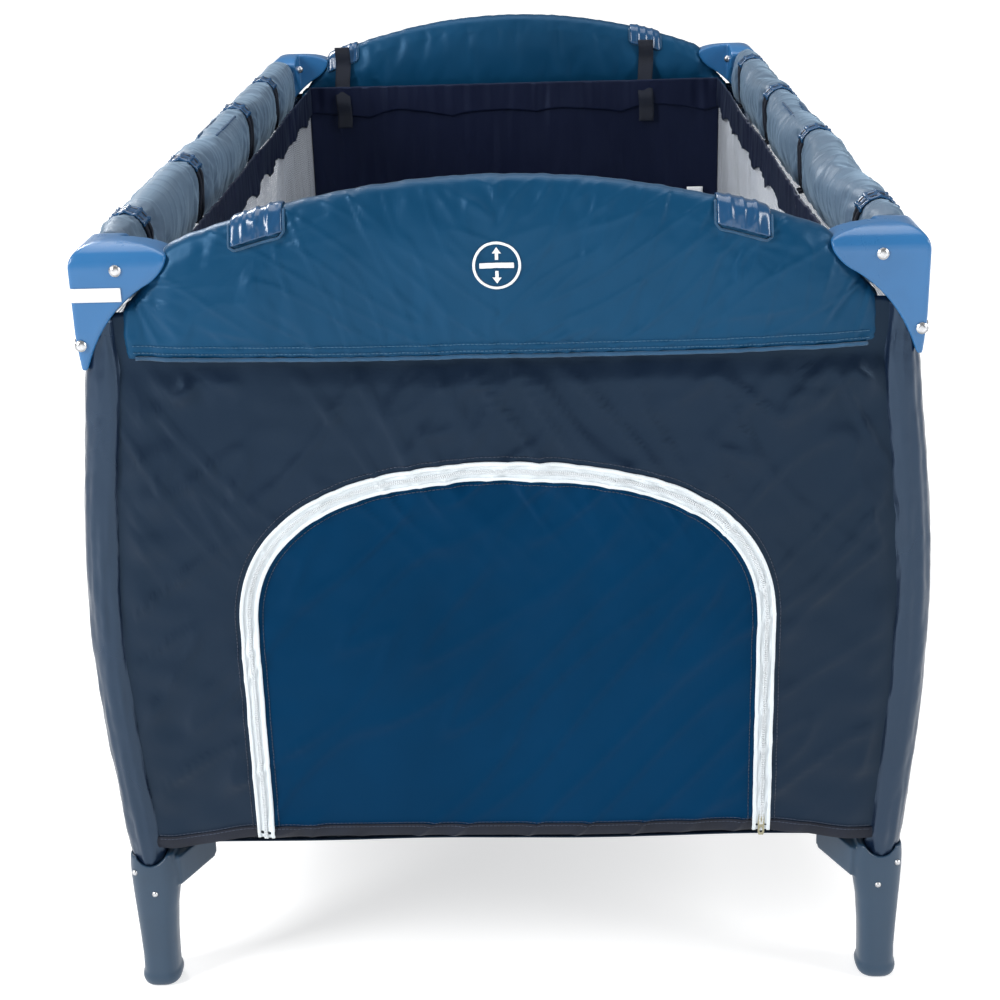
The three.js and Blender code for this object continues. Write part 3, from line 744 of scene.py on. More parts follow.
def newTree(name, sockets):
    tree = bpy.data.node_groups.new(name, "GeometryNodeTree")
    tree.interface.new_socket("Geometry", in_out="INPUT", socket_type="NodeSocketGeometry")
    for socket, kind in sockets:
        tree.interface.new_socket(socket, in_out="INPUT", socket_type="NodeSocket" + kind)
    tree.interface.new_socket("Geometry", in_out="OUTPUT", socket_type="NodeSocketGeometry")
    return tree, tree.nodes.new("NodeGroupInput"), tree.nodes.new("NodeGroupOutput")


def closeTree(tree, given, result, instances):
    real = tree.nodes.new("GeometryNodeRealizeInstances")
    finish = tree.nodes.new("GeometryNodeSetMaterial")
    tree.links.new(instances, real.inputs["Geometry"])
    tree.links.new(real.outputs["Geometry"], finish.inputs["Geometry"])
    tree.links.new(given.outputs["Finish"], finish.inputs["Material"])
    tree.links.new(finish.outputs["Geometry"], result.inputs["Geometry"])
    return tree


def rowTree():
    # short bars laid along a line: stitches and zip teeth
    tree, given, result = newTree("rowOfBars", [("Spacing", "Float"), ("Size", "Vector"),
                                                ("Facing", "Vector"),
                                                ("Finish", "Material")])
    link, make = tree.links.new, tree.nodes.new
    line = make("GeometryNodeMeshToCurve")
    even = make("GeometryNodeResampleCurve")
    even.mode = "LENGTH"
    tangent = make("GeometryNodeInputTangent")
    lengthwise = make("FunctionNodeAlignRotationToVector")
    lengthwise.axis = "Z"
    flat = make("FunctionNodeAlignRotationToVector")
    flat.axis, flat.pivot_axis = "Y", "Z"
    bar = make("GeometryNodeMeshCylinder")
    bar.inputs["Vertices"].default_value = 6
    bar.inputs["Radius"].default_value = 0.5
    bar.inputs["Depth"].default_value = 1
    place = make("GeometryNodeInstanceOnPoints")
    link(given.outputs["Geometry"], line.inputs["Mesh"])
    link(line.outputs["Curve"], even.inputs["Curve"])
    link(given.outputs["Spacing"], even.inputs["Length"])
    link(tangent.outputs["Tangent"], lengthwise.inputs["Vector"])
    link(lengthwise.outputs["Rotation"], flat.inputs["Rotation"])
    link(given.outputs["Facing"], flat.inputs["Vector"])
    link(even.outputs["Curve"], place.inputs["Points"])
    link(bar.outputs["Mesh"], place.inputs["Instance"])
    link(flat.outputs["Rotation"], place.inputs["Rotation"])
    link(given.outputs["Size"], place.inputs["Scale"])
    return closeTree(tree, given, result, place.outputs["Instances"])


def boltTree():
    # domed heads on the points, each turned to its point's own facing
    tree, given, result = newTree("boltHeads", [("Radius", "Float"), ("Height", "Float"),
                                                ("Finish", "Material")])
    link, make = tree.links.new, tree.nodes.new
    facing = make("GeometryNodeInputNamedAttribute")
    facing.data_type = "FLOAT_VECTOR"
    facing.inputs["Name"].default_value = "facing"
    turn = make("FunctionNodeAlignRotationToVector")
    turn.axis = "Z"
    collar = make("GeometryNodeMeshCylinder")
    collar.inputs["Vertices"].default_value = 28
    collar.inputs["Radius"].default_value = 1
    collar.inputs["Depth"].default_value = 0.8
    dome = make("GeometryNodeMeshUVSphere")
    dome.inputs["Segments"].default_value = 28
    dome.inputs["Rings"].default_value = 12
    dome.inputs["Radius"].default_value = 0.86
    both = make("GeometryNodeJoinGeometry")
    size = make("ShaderNodeCombineXYZ")
    place = make("GeometryNodeInstanceOnPoints")
    link(facing.outputs["Attribute"], turn.inputs["Vector"])
    link(collar.outputs["Mesh"], both.inputs["Geometry"])
    link(dome.outputs["Mesh"], both.inputs["Geometry"])
    link(given.outputs["Radius"], size.inputs["X"])
    link(given.outputs["Radius"], size.inputs["Y"])
    link(given.outputs["Height"], size.inputs["Z"])
    link(given.outputs["Geometry"], place.inputs["Points"])
    link(both.outputs["Geometry"], place.inputs["Instance"])
    link(turn.outputs["Rotation"], place.inputs["Rotation"])
    link(size.outputs["Vector"], place.inputs["Scale"])
    return closeTree(tree, given, result, place.outputs["Instances"])


trees = {"rows": rowTree(), "bolts": boltTree()}


def runTree(piece, tree, **values):
    made = piece.modifiers.new("made", "NODES")
    made.node_group = trees[tree]
    for item in trees[tree].interface.items_tree:
        if item.item_type == "SOCKET" and item.in_out == "INPUT" and item.name in values:
            made[item.identifier] = values[item.name]
    return bake(piece)


def lineOf(name, lines):
    # loose edges for a tree to follow
    mesh = bpy.data.meshes.new(name)
    points, edges = [], []
    for line in lines:
        edges += [(len(points) + i, len(points) + i + 1) for i in range(len(line) - 1)]
        points += [tuple(p) for p in line]
    mesh.from_pydata(points, edges, [])
    piece = bpy.data.objects.new(name, mesh)
    scene.collection.objects.link(piece)
    return piece


def stitchRow(name, lines, look, facing, size=(0.0006, 0.0006, 0.0026), spacing=0.0036):
    piece = lineOf(name, lines)
    return runTree(piece, "rows", Spacing=spacing, Size=size, Facing=facing, Finish=looks[look])


def boltRow(name, places, radius, height, look):
    mesh = bpy.data.meshes.new(name)
    mesh.from_pydata([tuple(p) for p, _ in places], [], [])
    facing = mesh.attributes.new("facing", "FLOAT_VECTOR", "POINT")
    facing.data.foreach_set("vector", [v for _, f in places for v in f])
    piece = bpy.data.objects.new(name, mesh)
    scene.collection.objects.link(piece)
    return runTree(piece, "bolts", Radius=radius, Height=height, Finish=looks[look])


bolts = {"wing": 0.0048, "wingHigh": 0.0022, "rivet": 0.0026, "rivetHigh": 0.0020, "lowerZ": 0.630}

for end, side in corners:
    sx, sy = signOf[side], signOf[end]
    half = casting["depth"] / 2
    py, px = sy * cot["postY"], sx * cot["postX"]
    wing = [((sx * endPivotX, py + f * half, cot["railZ"]), (0, f, 0)) for f in (-1, 1)]
    wing += [((px + f * half, sy * sidePivotY, cot["railZ"]), (f, 0, 0)) for f in (-1, 1)]
    wing += [((sx * 0.346 - sx * 0.0035, py + sy * half, bolts["lowerZ"]), (0, sy, 0))]
    wing += [((px + sx * half, sy * 0.619, bolts["lowerZ"]), (sx, 0, 0))]
    heads = boltRow("casting_bolts_" + end + "_" + side, wing, bolts["wing"], bolts["wingHigh"], "boltSteel")
    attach(heads, end + "_" + side + "_leg")
    rivets = [((sx * x, py + sy * f, z), (0, sy, 0)) for x, z, f in
              ((0.3500, 0.1250, 0.0158), (0.3330, 0.1030, 0.0182))]
    rivets.append(((sx * 0.3085, sy * (sidePivotY + 0.0165), 0.131), (0, sy, 0)))
    heads = boltRow("foot_rivets_" + end + "_" + side, rivets, bolts["rivet"], bolts["rivetHigh"],
                    "boltSteel")
    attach(heads, end + "_" + side + "_leg")
print("bolts and rivets set")


# end panels and the zipped door

door = {"half": 0.2325, "top": 0.5225, "spring": 0.372, "tape": 0.016, "columns": 150, "rows": 88}
panel = {"face": 0.6196, "top": 0.654, "wall": 0.0011, "rows": 46, "across": 240}


def bezier(a, b, c, d, steps):
    for i in range(1, steps + 1):
        t = i / steps
        yield tuple((1 - t) ** 3 * p + 3 * t * (1 - t) ** 2 * q + 3 * t * t * (1 - t) * r + t ** 3 * s
                    for p, q, r, s in zip(a, b, c, d))


def evenly(points, count):
    # the same line with its points spaced evenly
    line = np.array(points, float)
    run = np.concatenate([[0], np.cumsum(np.linalg.norm(np.diff(line, axis=0), axis=1))])
    at = np.linspace(0, run[-1], count)
    return np.stack([np.interp(at, run, line[:, k]) for k in range(line.shape[1])], axis=1)


def hemLow(x):
    # the lower hem hangs a little lower where it wraps round the feet
    return cot["hem"] + 0.003 - 0.013 * smoothStep(0.225, 0.325, abs(x))


def doorLine(inset, count):
    half, top = door["half"] - inset, door["top"] - inset
    bulge = (top - door["spring"]) * 0.65
    rightSide = [(half, hemLow(half)), (half, door["spring"])]
    rightSide += list(bezier((half, door["spring"]), (half, door["spring"] + bulge), (half * 0.645, top),
                             (0, top), 60))
    leftSide = [(-x, z) for x, z in rightSide]
    return evenly(leftSide + rightSide[::-1][1:], count)


def panelEdge(z):
    return legX(z) - 0.006


def panelBorder(count):
    zs = np.linspace(hemLow(0.33), panel["top"], 80)
    left = [(-panelEdge(z), z) for z in zs] + [(-0.300, panel["top"] + 0.002), (-0.270, panel["top"] - 0.022)]
    return evenly(left + [(-x, z) for x, z in left[::-1]], count)


def panelWave(x, z, seed):
    # soft folds of the end panel: drag lines under the rail cover, along the zip and beside the legs
    high = math.exp(-max(0.0, 0.618 - z) / 0.042)
    puckers = noise.noise(Vector((x * 70, z * 12, seed))) * high * 0.0030
    drag = crease(x, z, -0.95, 0.16, 0.030, seed + 2) * 0.0030 * smoothStep(0.36, 0.58, z)
    drag += crease(x, z, 0.8, 0.19, 0.036, seed + 5) * 0.0022
    rim = abs(abs(x) - door["half"]) if z < door["spring"] else 0.03
    zipPull = noise.noise(Vector((x * 26, z * 48, seed + 4))) * math.exp(-rim / 0.034) * 0.0022
    broad = noise.noise(Vector((x * 6.5, z * 5.2, seed + 9))) * 0.0060
    side = noise.noise(Vector((x * 22, z * 36, seed + 1))) * smoothStep(0.23, 0.32, abs(x)) * 0.0030
    return (puckers + drag + zipPull + side) * 1.45 + broad


def panelPlace(x, z, end, lift=0.0):
    # the panel bellies out a little, and tucks behind the sleeves at its sides
    tuck = smoothStep(0.0, 0.030, panelEdge(z) - abs(x))
    belly = 0.0035 * math.cos(min(1, abs(x) / 0.34) * math.pi / 2)
    seed = 11 if end == "front" else 37
    wave = panelWave(x, z, seed)
    behind = smoothStep(0.588, 0.612, z)  # the top edge lies flat behind the rail cover
    out = panel["face"] - 0.0035 * (1 - tuck) + (belly + wave
                                                 * 0.9) * tuck * (1 - behind) - 0.0022 * behind + lift
    return (x, signOf[end] * out, z)


def thinSheet(name, points, rows, columns, look, wall=None):
    piece = newPiece(name, points, gridFaces(rows, columns), look)
    return thicken(piece, wall or panel["wall"], 0)


def makeFrontPanel():
    inner, outer = doorLine(door["tape"] * 0.45, panel["across"]), panelBorder(panel["across"])
    points = []
    for r in range(panel["rows"]):
        t = r / (panel["rows"] - 1)
        points += [panelPlace(*(inner[c] * (1 - t) + outer[c] * t), "front") for c in range(panel["across"])]
    piece = thinSheet("front_panel_cloth", points, panel["rows"], panel["across"], "navySatin")
    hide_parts("front_panel")
    gatherEnd(piece, "front")
    outline = doorLine(door["tape"] * 0.55, 2 * door["rows"] - 1)
    points = []
    for r in range(door["rows"]):
        left, right = outline[r], outline[-1 - r]
        if r == door["rows"] - 1:
            left, right = left - (0.002, 0), left + (0.002, 0)
        points += [panelPlace(left[0] + (right[0] - left[0]) * c / (door["columns"] - 1), left[1], "front",
                              -0.0004)
                   for c in range(door["columns"])]
    piece = thinSheet("front_door_cloth", points, door["rows"], door["columns"], "doorSatin")
    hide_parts("front_door")
    gatherEnd(piece, "front")


def makeRearPanel():
    rows, columns = 120, 190
    points = []
    for r in range(rows):
        t = r / (rows - 1)
        for c in range(columns):
            u = 2 * c / (columns - 1) - 1
            guess = panelEdge(0.16 + (panel["top"] - 0.16) * t) * u
            high = panel["top"] - 0.022 * (1 - smoothStep(0.270, 0.305, abs(guess)))
            z = hemLow(guess) * (1 - t) + high * t
            points.append(panelPlace(panelEdge(z) * u, z, "rear"))
    piece = thinSheet("rear_panel_cloth", points, rows, columns, "navySatin")
    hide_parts("rear_panel")
    gatherEnd(piece, "rear")


def bandAlong(name, line, width, end, look, lift, crown=0.0004, wall=0.0011, columns=9):
    # a flat tape laid on an end panel, along a line of (x, z)
    points, count = [], len(line)
    for i, (x, z) in enumerate(line):
        a, b = line[max(0, i - 1)], line[min(count - 1, i + 1)]
        dx, dz = b[0] - a[0], b[1] - a[1]
        size = math.hypot(dx, dz)
        for c in range(columns):
            s = (c / (columns - 1) - 0.5) * width
            ridge = crown * math.cos(math.pi * s / width)
            points.append(panelPlace(x - dz / size * s, z + dx / size * s, end, lift + ridge))
    return thinSheet(name, points, count, columns, look, wall)


def makeZip():
    middle = doorLine(door["tape"] / 2, 320)
    tape = bandAlong("zip_tape_band", middle, door["tape"], "front", "zipWhite", 0.0016, 0.0)
    piping = [[Vector(panelPlace(x, z, "front", 0.0030)) for x, z in doorLine(inset, 320)]
              for inset in (0.0016, door["tape"] - 0.0016)]
    edges = []
    for line in piping:
        path = []
        for i, p in enumerate(line):
            ahead = (line[min(i + 1, len(line) - 1)] - line[max(i - 1, 0)]).normalized()
            path.append((p, Vector((0, 1, 0)), ahead.cross(Vector((0, 1, 0)))))
        section = [(0.0007 * math.cos(t), 0.0016 * math.sin(t)) for t in (2 * math.pi
                                                                          * i / 10 for i in range(10))]
        edges.append(outward(newPiece("edge", *sweep(path, section), "zipWhite")))
    tape = joined("zip_tape_band", [tape] + edges)
    tape.name = "zip_tape_band"
    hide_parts("zipper_tape")
    gatherEnd(tape, "front")
    teeth = [[panelPlace(x, z, "front", 0.0030) for x, z in doorLine(door["tape"] / 2 + offset, 400)]
             for offset in (-0.0008, 0.0008)]
    coil = stitchRow("zip_teeth", teeth, "zipTeeth", (0, -1, 0), (0.0024, 0.0014, 0.0011), 0.0017)
    gatherEnd(coil, "front")


def bevelled(piece, width, segments=2):
    edge = piece.modifiers.new("edge", "BEVEL")
    edge.width = width
    edge.segments = segments
    edge.limit_method = "ANGLE"
    return bake(piece)


def makeSlider():
    low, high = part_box("zipper_slider")
    x, _, z = (low + high) / 2
    face = low.y
    shield = [(-0.0045, 0.0075), (0.0045, 0.0075), (0.0055, 0.004), (0.0042, -0.004), (0.0036, -0.0075),
              (-0.0036, -0.0075), (-0.0042, -0.004), (-0.0055, 0.004)]
    body = outward(newPiece("body", *prism(shield, face, high.y, lambda a, b, d: (x + a, d, z + b)),
                            "agedBrass"))
    bevelled(body, 0.0007)
    arch = []
    for i in range(17):
        t = math.pi * i / 16
        place = Vector((x, face - 0.0014 * math.sin(t), z + 0.0045 * math.cos(t)))
        arch.append((place, Vector((1, 0, 0)), Vector((0, -math.sin(t), math.cos(t)))))
    bridge = outward(newPiece("bridge", *sweep(arch, roundSection(0.0009, 12)), "agedBrass"))
    piece = joined("slider_body", [body, bridge])
    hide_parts("zipper_slider")
    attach(piece, "zip_slider")
    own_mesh(piece)
    low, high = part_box("zipper_pull")
    x, _, z = (low + high) / 2
    tab = [(-0.0022, 0.011), (0.0022, 0.011), (0.0028, 0.006), (0.0030, -0.008), (0.0022, -0.011),
           (-0.0022, -0.011), (-0.0030, -0.008), (-0.0028, 0.006)]
    plate = outward(newPiece("pull_tab", *prism(tab, low.y, high.y, lambda a, b, d: (x + a, d, z + b)),
                             "agedBrass"))
    hole = [(0.0013 * math.cos(t), 0.0028 * math.sin(t)) for t in (2 * math.pi * i / 20 for i in range(20))]
    for drop in (0.0072, -0.0058):
        cutter = prism(hole, low.y - 0.01, high.y + 0.01, lambda a, b, d: (x + a, d, z + drop + b))
        cutAway(plate, outward(newPiece("cutter", *cutter, "agedBrass", False)))
    bevelled(plate, 0.00025)
    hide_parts("zipper_pull")
    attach(plate, "zip_pull")
    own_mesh(plate)


def makeHems():
    for end in ("front", "rear"):
        wide = panelEdge(0.16)
        line = [(x, hemLow(x) + 0.005) for x in np.linspace(-wide, wide, 260)]
        hem = bandAlong("lower_hem_" + end, line, 0.011, end, "binding", 0.0006, 0.0008, 0.0016)
        gatherEnd(hem, end)
        rows = [[panelPlace(x, hemLow(x) + rise, end, 0.0018) for x in np.linspace(-wide + 0.01,
                                                                                   wide - 0.01, 200)]
                for rise in (0.0086, 0.0125)]
        if end == "front":
            rows.append([panelPlace(x, z, end, 0.0010) for x, z in doorLine(-0.004, 300)])
            rows.append([panelPlace(x, z, end, 0.0006) for x, z in doorLine(door["tape"] + 0.004, 300)])
        thread = stitchRow("panel_stitches_" + end, rows, "threadNavy", (0, signOf[end], 0))
        gatherEnd(thread, end)


makeFrontPanel()
makeRearPanel()
makeZip()
makeSlider()
makeHems()
print("end panels and door made")


# padded rail covers

puffing = {"voxel": 0.0045, "frames": 20, "pressure": 4.0, "slack": -0.018, "endCap": 0.007, "sideCap": 0.010}
cover = {"half": 0.309, "sideHalf": 0.546}
clips = {  # places along each rail
    "front": (-0.192, 0.197), "rear": (-0.245, 0.190),
    "left": (-0.477, -0.219, 0.122, 0.356), "right": (-0.485, -0.137, 0.161, 0.450),
}


def swell(piece, held, cap):
    # cloth under a little pressure, held where the seams and clips grip it
    skin = piece.modifiers.new("skin", "REMESH")
    skin.mode = "VOXEL"
    skin.voxel_size = puffing["voxel"]
    bake(piece)
    rest = np.array([v.co for v in piece.data.vertices])
    grip = piece.vertex_groups.new(name="held")
    for i, p in enumerate(rest):
        grip.add([i], held(*p), "REPLACE")
    cloth = piece.modifiers.new("cloth", "CLOTH")
    cloth.settings.quality = 5
    cloth.settings.mass = 0.15
    cloth.settings.use_pressure = True
    cloth.settings.uniform_pressure_force = puffing["pressure"]
    cloth.settings.vertex_group_mass = "held"
    cloth.settings.shrink_min = puffing["slack"]
    cloth.settings.bending_stiffness = 0.4
    cloth.settings.effector_weights.gravity = 0
    cloth.collision_settings.use_collision = False
    cloth.point_cache.frame_start = 1
    cloth.point_cache.frame_end = puffing["frames"]
    for step in range(1, puffing["frames"] + 1):
        scene.frame_set(step)
    bake(piece)
    piece.vertex_groups.clear()
    moved = np.array([v.co for v in piece.data.vertices]) - rest
    size = np.linalg.norm(moved, axis=1, keepdims=True)
    moved *= np.tanh(size / cap) * cap / np.maximum(size, 1e-9)
    piece.data.vertices.foreach_set("co", (rest + moved).ravel())
    scene.frame_set(1)
    soften = piece.modifiers.new("soften", "SMOOTH")
    soften.factor = 0.5
    soften.iterations = 3
    finer = piece.modifiers.new("finer", "SUBSURF")
    finer.levels = finer.render_levels = 1
    return bake(piece)


def pushOut(piece, height):
    # moves each point along its own normal by a height of its place
    mesh = piece.data
    normals = [tuple(n.vector) for n in mesh.vertex_normals]
    for v, n in zip(mesh.vertices, normals):
        v.co += Vector(n) * height(v.co.copy(), n)
    mesh.update()


def coverTop(x):
    a = abs(x)
    arch = cot["endCoverTop"] - 0.7 * a * a + 0.001
    return arch - 0.036 * smoothStep(0.262, 0.309, a)


def makeEndCover(end):
    sy = signOf[end]
    hem, rings = cot["endCoverHem"], []
    for x in np.linspace(-cover["half"], cover["half"], 110):
        top = coverTop(x)
        thin = 1 - 0.34 * smoothStep(0.262, 0.300, abs(x))
        hemAt = hem + 0.003 * smoothStep(0.15, 0.30, abs(x))
        section = [(18.2, hemAt), (18.6, hemAt + 0.006), (17.6, 0.660), (17.8, top - 0.045),
                   (16.6, top - 0.020),
                   (12.0, top - 0.006), (5.0, top - 0.001), (-5.0, top - 0.001), (-12.0, top - 0.006),
                   (-16.6, top - 0.020), (-18, top - 0.045), (-16.0, 0.664), (-6.0, 0.640),
                   (6.5, hemAt + 0.003),
                   (11.0, hemAt)]
        rings.append([(x, sy * (cot["postY"] + across * mm * thin), z) for across, z in section])
    name = "rail_cover_cloth_" + end
    piece = loft(name, rings, "blueSatin")

    def held(x, y, z):
        grip = 1 - smoothStep(0.004, 0.022, z - hem - 0.003)
        grip = max(grip, smoothStep(0.272, 0.290, abs(x)))
        near = min(abs(x - at) for at in clips[end])
        onTop = z > coverTop(x) - 0.034
        ridge = 0.9 * (1 - smoothStep(0.004, 0.016, coverTop(x) - z))
        return max(grip, ridge, (1 - smoothStep(0.016, 0.030, near)) * onTop)

    swell(piece, held, puffing["endCap"])
    seed = 3 if end == "front" else 19

    def height(p, n):
        x, z = p.x, p.z
        top = coverTop(x)
        outer = max(0.0, n[1] * sy)
        lip = math.exp(-max(0, z - hem) / 0.014)
        value = noise.noise(Vector((x * 120, z * 26, seed))) * 0.0016 * lip
        value += noise.noise(Vector((x * 95, z * 9, seed + 3))) * 0.0009 * math.exp(-max(0, top - z) / 0.018)
        value += crease(x, z, 0.55 if x > 0 else -0.55, 0.13, 0.020, seed + 1) * 0.0015 * outer
        value += crease(x, z, 1.25 if x > 0 else -1.25, 0.10, 0.026, seed + 2) * 0.0013 * outer
        value += noise.noise(Vector((x * 13, z * 17, seed + 7))) * 0.0022 * outer
        for at in clips[end]:
            value += fold(x, z, at, top - 0.030, 0.045, 3.6, seed) * 0.0016 * outer
        for corner in (-1, 1):
            value += fold(x, z, corner * 0.300, 0.676, 0.040, 4.2, seed + 4) * 0.0030 * (0.4 + 0.6 * outer)
        groove = math.exp(-((z - hem - 0.0125) / 0.0016) ** 2) + math.exp(-((z - hem - 0.0065) / 0.0014) ** 2)
        return value - 0.0009 * groove * outer

    pushOut(piece, height)
    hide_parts("rail_cover_" + end)
    tree = BVHTree.FromObject(piece, bpy.context.evaluated_depsgraph_get())
    gatherEnd(piece, end)
    return tree


def makeSideCover(side):
    sx = signOf[side]
    top, hem, rings = cot["sideCoverTop"] - 0.002, cot["sideCoverHem"], []
    for y in np.linspace(-cover["sideHalf"], cover["sideHalf"], 150):
        near = min(abs(y - at) for at in clips[side])
        puff = 0.90 + 0.10 * smoothStep(0.012, 0.050, near) - 0.22 * smoothStep(0.515, cover["sideHalf"],
                                                                                abs(y))
        section = [(15, hem + 0.004), (18.5, hem + 0.030), (19, top - 0.026), (15, top - 0.009),
                   (6, top - 0.001),
                   (-6, top - 0.001), (-15, top - 0.009), (-19, top - 0.026), (-18.5, hem + 0.030),
                   (-15, hem + 0.004),
                   (-5, hem), (5, hem)]
        centre = cot["railZ"] - 0.008
        rings.append([(sx * (cot["postX"] + across * mm * puff), y, centre + (z - centre) * puff)
                      for across, z in section])
    piece = loft("rail_cover_cloth_" + side, rings, "padSatin")

    def held(x, y, z):
        near = min(abs(y - at) for at in clips[side])
        grip = max(1 - smoothStep(0.006, 0.020, near), smoothStep(0.525, 0.540, abs(y)))
        return max(grip, 1 - smoothStep(0.002, 0.012, z - hem))

    swell(piece, held, puffing["sideCap"])
    seed = 53 if side == "left" else 71

    def height(p, n):
        y, z = p.y, p.z
        value = noise.noise(Vector((y * 130, z * 16, seed))) * 0.0014 * math.exp(-max(0, z - hem) / 0.02)
        value += crease(y, z, 1.3, 0.09, 0.022, seed + 2) * 0.0010
        value += noise.noise(Vector((y * 13, z * 14 + p.x * 14, seed + 5))) * 0.0022
        for at in clips[side]:
            value += fold(y, z, at, top - 0.010, 0.040, 3.8, seed + 1) * 0.0020
            value -= 0.0016 * math.exp(-((y - at) / 0.012) ** 2)
        return value

    pushOut(piece, height)
    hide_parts("rail_cover_" + side)
    tree = BVHTree.FromObject(piece, bpy.context.evaluated_depsgraph_get())
    gatherSide(piece, side)
    return tree


surfaces = {rail: makeEndCover(rail) for rail in ("front", "rear")}
print("end covers made")
surfaces.update({rail: makeSideCover(rail) for rail in ("left", "right")})
print("side covers made")


# what lies on the covers: clips, straps, badge and stitches


def around(rail, along, run, lift):
    # a place on a cover: along the rail, and so far round it from its top, outwards if above nought
    isEnd = rail in ("front", "rear")
    sign = signOf[rail]
    out = Vector((0, sign, 0)) if isEnd else Vector((sign, 0, 0))
    bend = 0.018
    if isEnd:
        centre = Vector((along, sign * cot["postY"], coverTop(along) - bend))
    else:
        centre = Vector((sign * cot["postX"], along, cot["sideCoverTop"] - bend - 0.002))
    arc = bend * math.pi / 2
    if abs(run) < arc:
        turn = run / bend
        ray = out * math.sin(turn) + Vector((0, 0, math.cos(turn)))
    else:
        ray = out * math.copysign(1, run)
        centre.z -= abs(run) - arc
    hit = surfaces[rail].ray_cast(centre + ray * 0.09, -ray, 0.12)
    place = hit[0] if hit[0] is not None else centre + ray * (bend + 0.001)
    return place + ray * lift, ray


def padPatch(name, rail, at, width, runs, look, lift, columns=34, wall=0.0016):
    points = []
    for run in runs:
        for c in range(columns):
            s = c / (columns - 1) - 0.5
            points.append(around(rail, at + s * width, run, lift(s, run))[0])
    piece = newPiece(name, points, gridFaces(len(runs), columns), look)
    bm = bmesh.new()
    bm.from_mesh(piece.data)
    bmesh.ops.smooth_vert(bm, verts=[v for v in bm.verts if not v.is_boundary], factor=0.4, use_axis_x=True,
                          use_axis_y=True, use_axis_z=True)
    bm.to_mesh(piece.data)
    bm.free()
    return outward(thicken(piece, wall, 0))


def cordOn(name, line, radius, look):
    # a thin piping along a line of places, with round section
    path = []
    for i, p in enumerate(line):
        ahead = (line[min(i + 1, len(line) - 1)] - line[max(i - 1, 0)]).normalized()
        sideways = ahead.cross(Vector((0.31, 0.55, 0.77))).normalized()
        path.append((p, sideways, sideways.cross(ahead)))
    return outward(newPiece(name, *sweep(path, roundSection(radius, 10)), look))


grip = {"width": 0.042, "outer": 0.030, "inner": 0.034, "ribs": 4, "rib": 0.0013, "plate": 0.0022,
        "sideWidth": 0.024, "sideOuter": 0.030, "sideInner": 0.026, "strapHalf": 0.0068, "strapLow": -0.088}


def makeClip(rail, number, at):
    isEnd = rail in ("front", "rear")
    width, outer, inner = (grip[key] for key in (("width", "outer", "inner") if isEnd else
                                                 ("sideWidth", "sideOuter", "sideInner")))
    runs = np.linspace(outer, -inner, 54)

    def lift(s, run):
        rim = 1 - smoothStep(0.44, 0.5, abs(s))
        rib = max(0.0, math.cos(s * 2 * math.pi * grip["ribs"])) ** 3 * grip["rib"] * rim
        if not isEnd:
            rib = max(0.0, math.cos(run / (outer + inner) * 2 * math.pi * 5)) ** 3 * grip["rib"] * 1.4 * rim
        return grip["plate"] * (0.45 + 0.55 * rim) + rib

    parts = [padPatch("plate", rail, at, width, runs, "clipBlue", lift)]
    if isEnd:  # a dark edging round the lower half of the plate
        half, low = width / 2 + 0.0015, outer + 0.004
        turns = [(-half, 0.012), (-half, low - 0.004), (-half + 0.004, low), (half - 0.004, low),
                 (half, low - 0.004),
                 (half, 0.012)]
        for sign in (1, -1):
            line = evenly([(a, sign * b) for a, b in turns], 70)
            parts.append(cordOn("edging", [around(rail, at + a, b, 0.0012)[0] for a, b in line], 0.0011,
                                "blueBinding"))
    else:  # a narrow loop of strap hangs down the inner side
        half, low = grip["strapHalf"], grip["strapLow"]
        turns = [(-half, 0.010), (-half, low + 0.006), (-half * 0.5, low), (half * 0.5, low),
                 (half, low + 0.006),
                 (half, 0.010)]
        line = evenly(turns, 90)
        parts.append(cordOn("strap", [around(rail, at + a, b, 0.0016)[0] for a, b in line], 0.0020,
                            "binding"))
        runs = np.linspace(-0.020, low + 0.004, 40)
        parts.append(padPatch("band", rail, at, 0.0125, runs, "binding", lambda s, run: 0.0008, 7, 0.0012))
    piece = joined("clip_" + rail + "_" + str(number), parts)
    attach(piece, "insert")


badge = {"z": 0.691, "radius": 0.0184, "line": 0.0021, "barHalf": 0.0138, "barHigh": 0.0042}


def makeBadge(end):
    # a round printed mark with an arrow up, an arrow down and a plain bar
    sy = signOf[end]
    centreZ, ring, line = badge["z"], badge["radius"], badge["line"]

    def on(x, z):
        hit = surfaces[end].ray_cast(Vector((x, sy * 0.75, z)), Vector((0, -sy, 0)), 0.3)
        y = hit[0].y if hit[0] is not None else sy * 0.626
        return (x, y + sy * 0.0007, z)

    parts = []
    rings = [[on(r * math.cos(t), centreZ + r * math.sin(t)) for t in (2 * math.pi
                                                                       * i / 96 for i in range(96))]
             for r in (ring - line / 2, ring - line / 6, ring + line / 6, ring + line / 2)]
    parts.append(newPiece("ring", [p for r in rings for p in r], gridFaces(4, 96, True), "whitePrint"))
    for way in (1, -1):
        for low, high, wide, tall in ((0.0045, 0.0100, 0.0013, 0.0013), (0.0098, 0.0148, 0.0036, 0.0001)):
            points = []
            for r in range(8):
                t = r / 7
                half = wide * (1 - t) + tall * t
                z = centreZ + way * (low * (1 - t) + high * t)
                points += [on(half * (c / 3 - 1), z) for c in range(7)]
            parts.append(newPiece("arrow", points, gridFaces(8, 7), "whitePrint"))
    points = [on(badge["barHalf"] * (c / 15 - 1), centreZ + badge["barHigh"] * (r / 5 - 0.5))
              for r in range(6) for c in range(31)]
    parts.append(newPiece("bar", points, gridFaces(6, 31), "whitePrint"))
    piece = thicken(joined("badge_print_" + end, parts), 0.0004, 0)
    outward(piece)
    gatherEnd(piece, end)


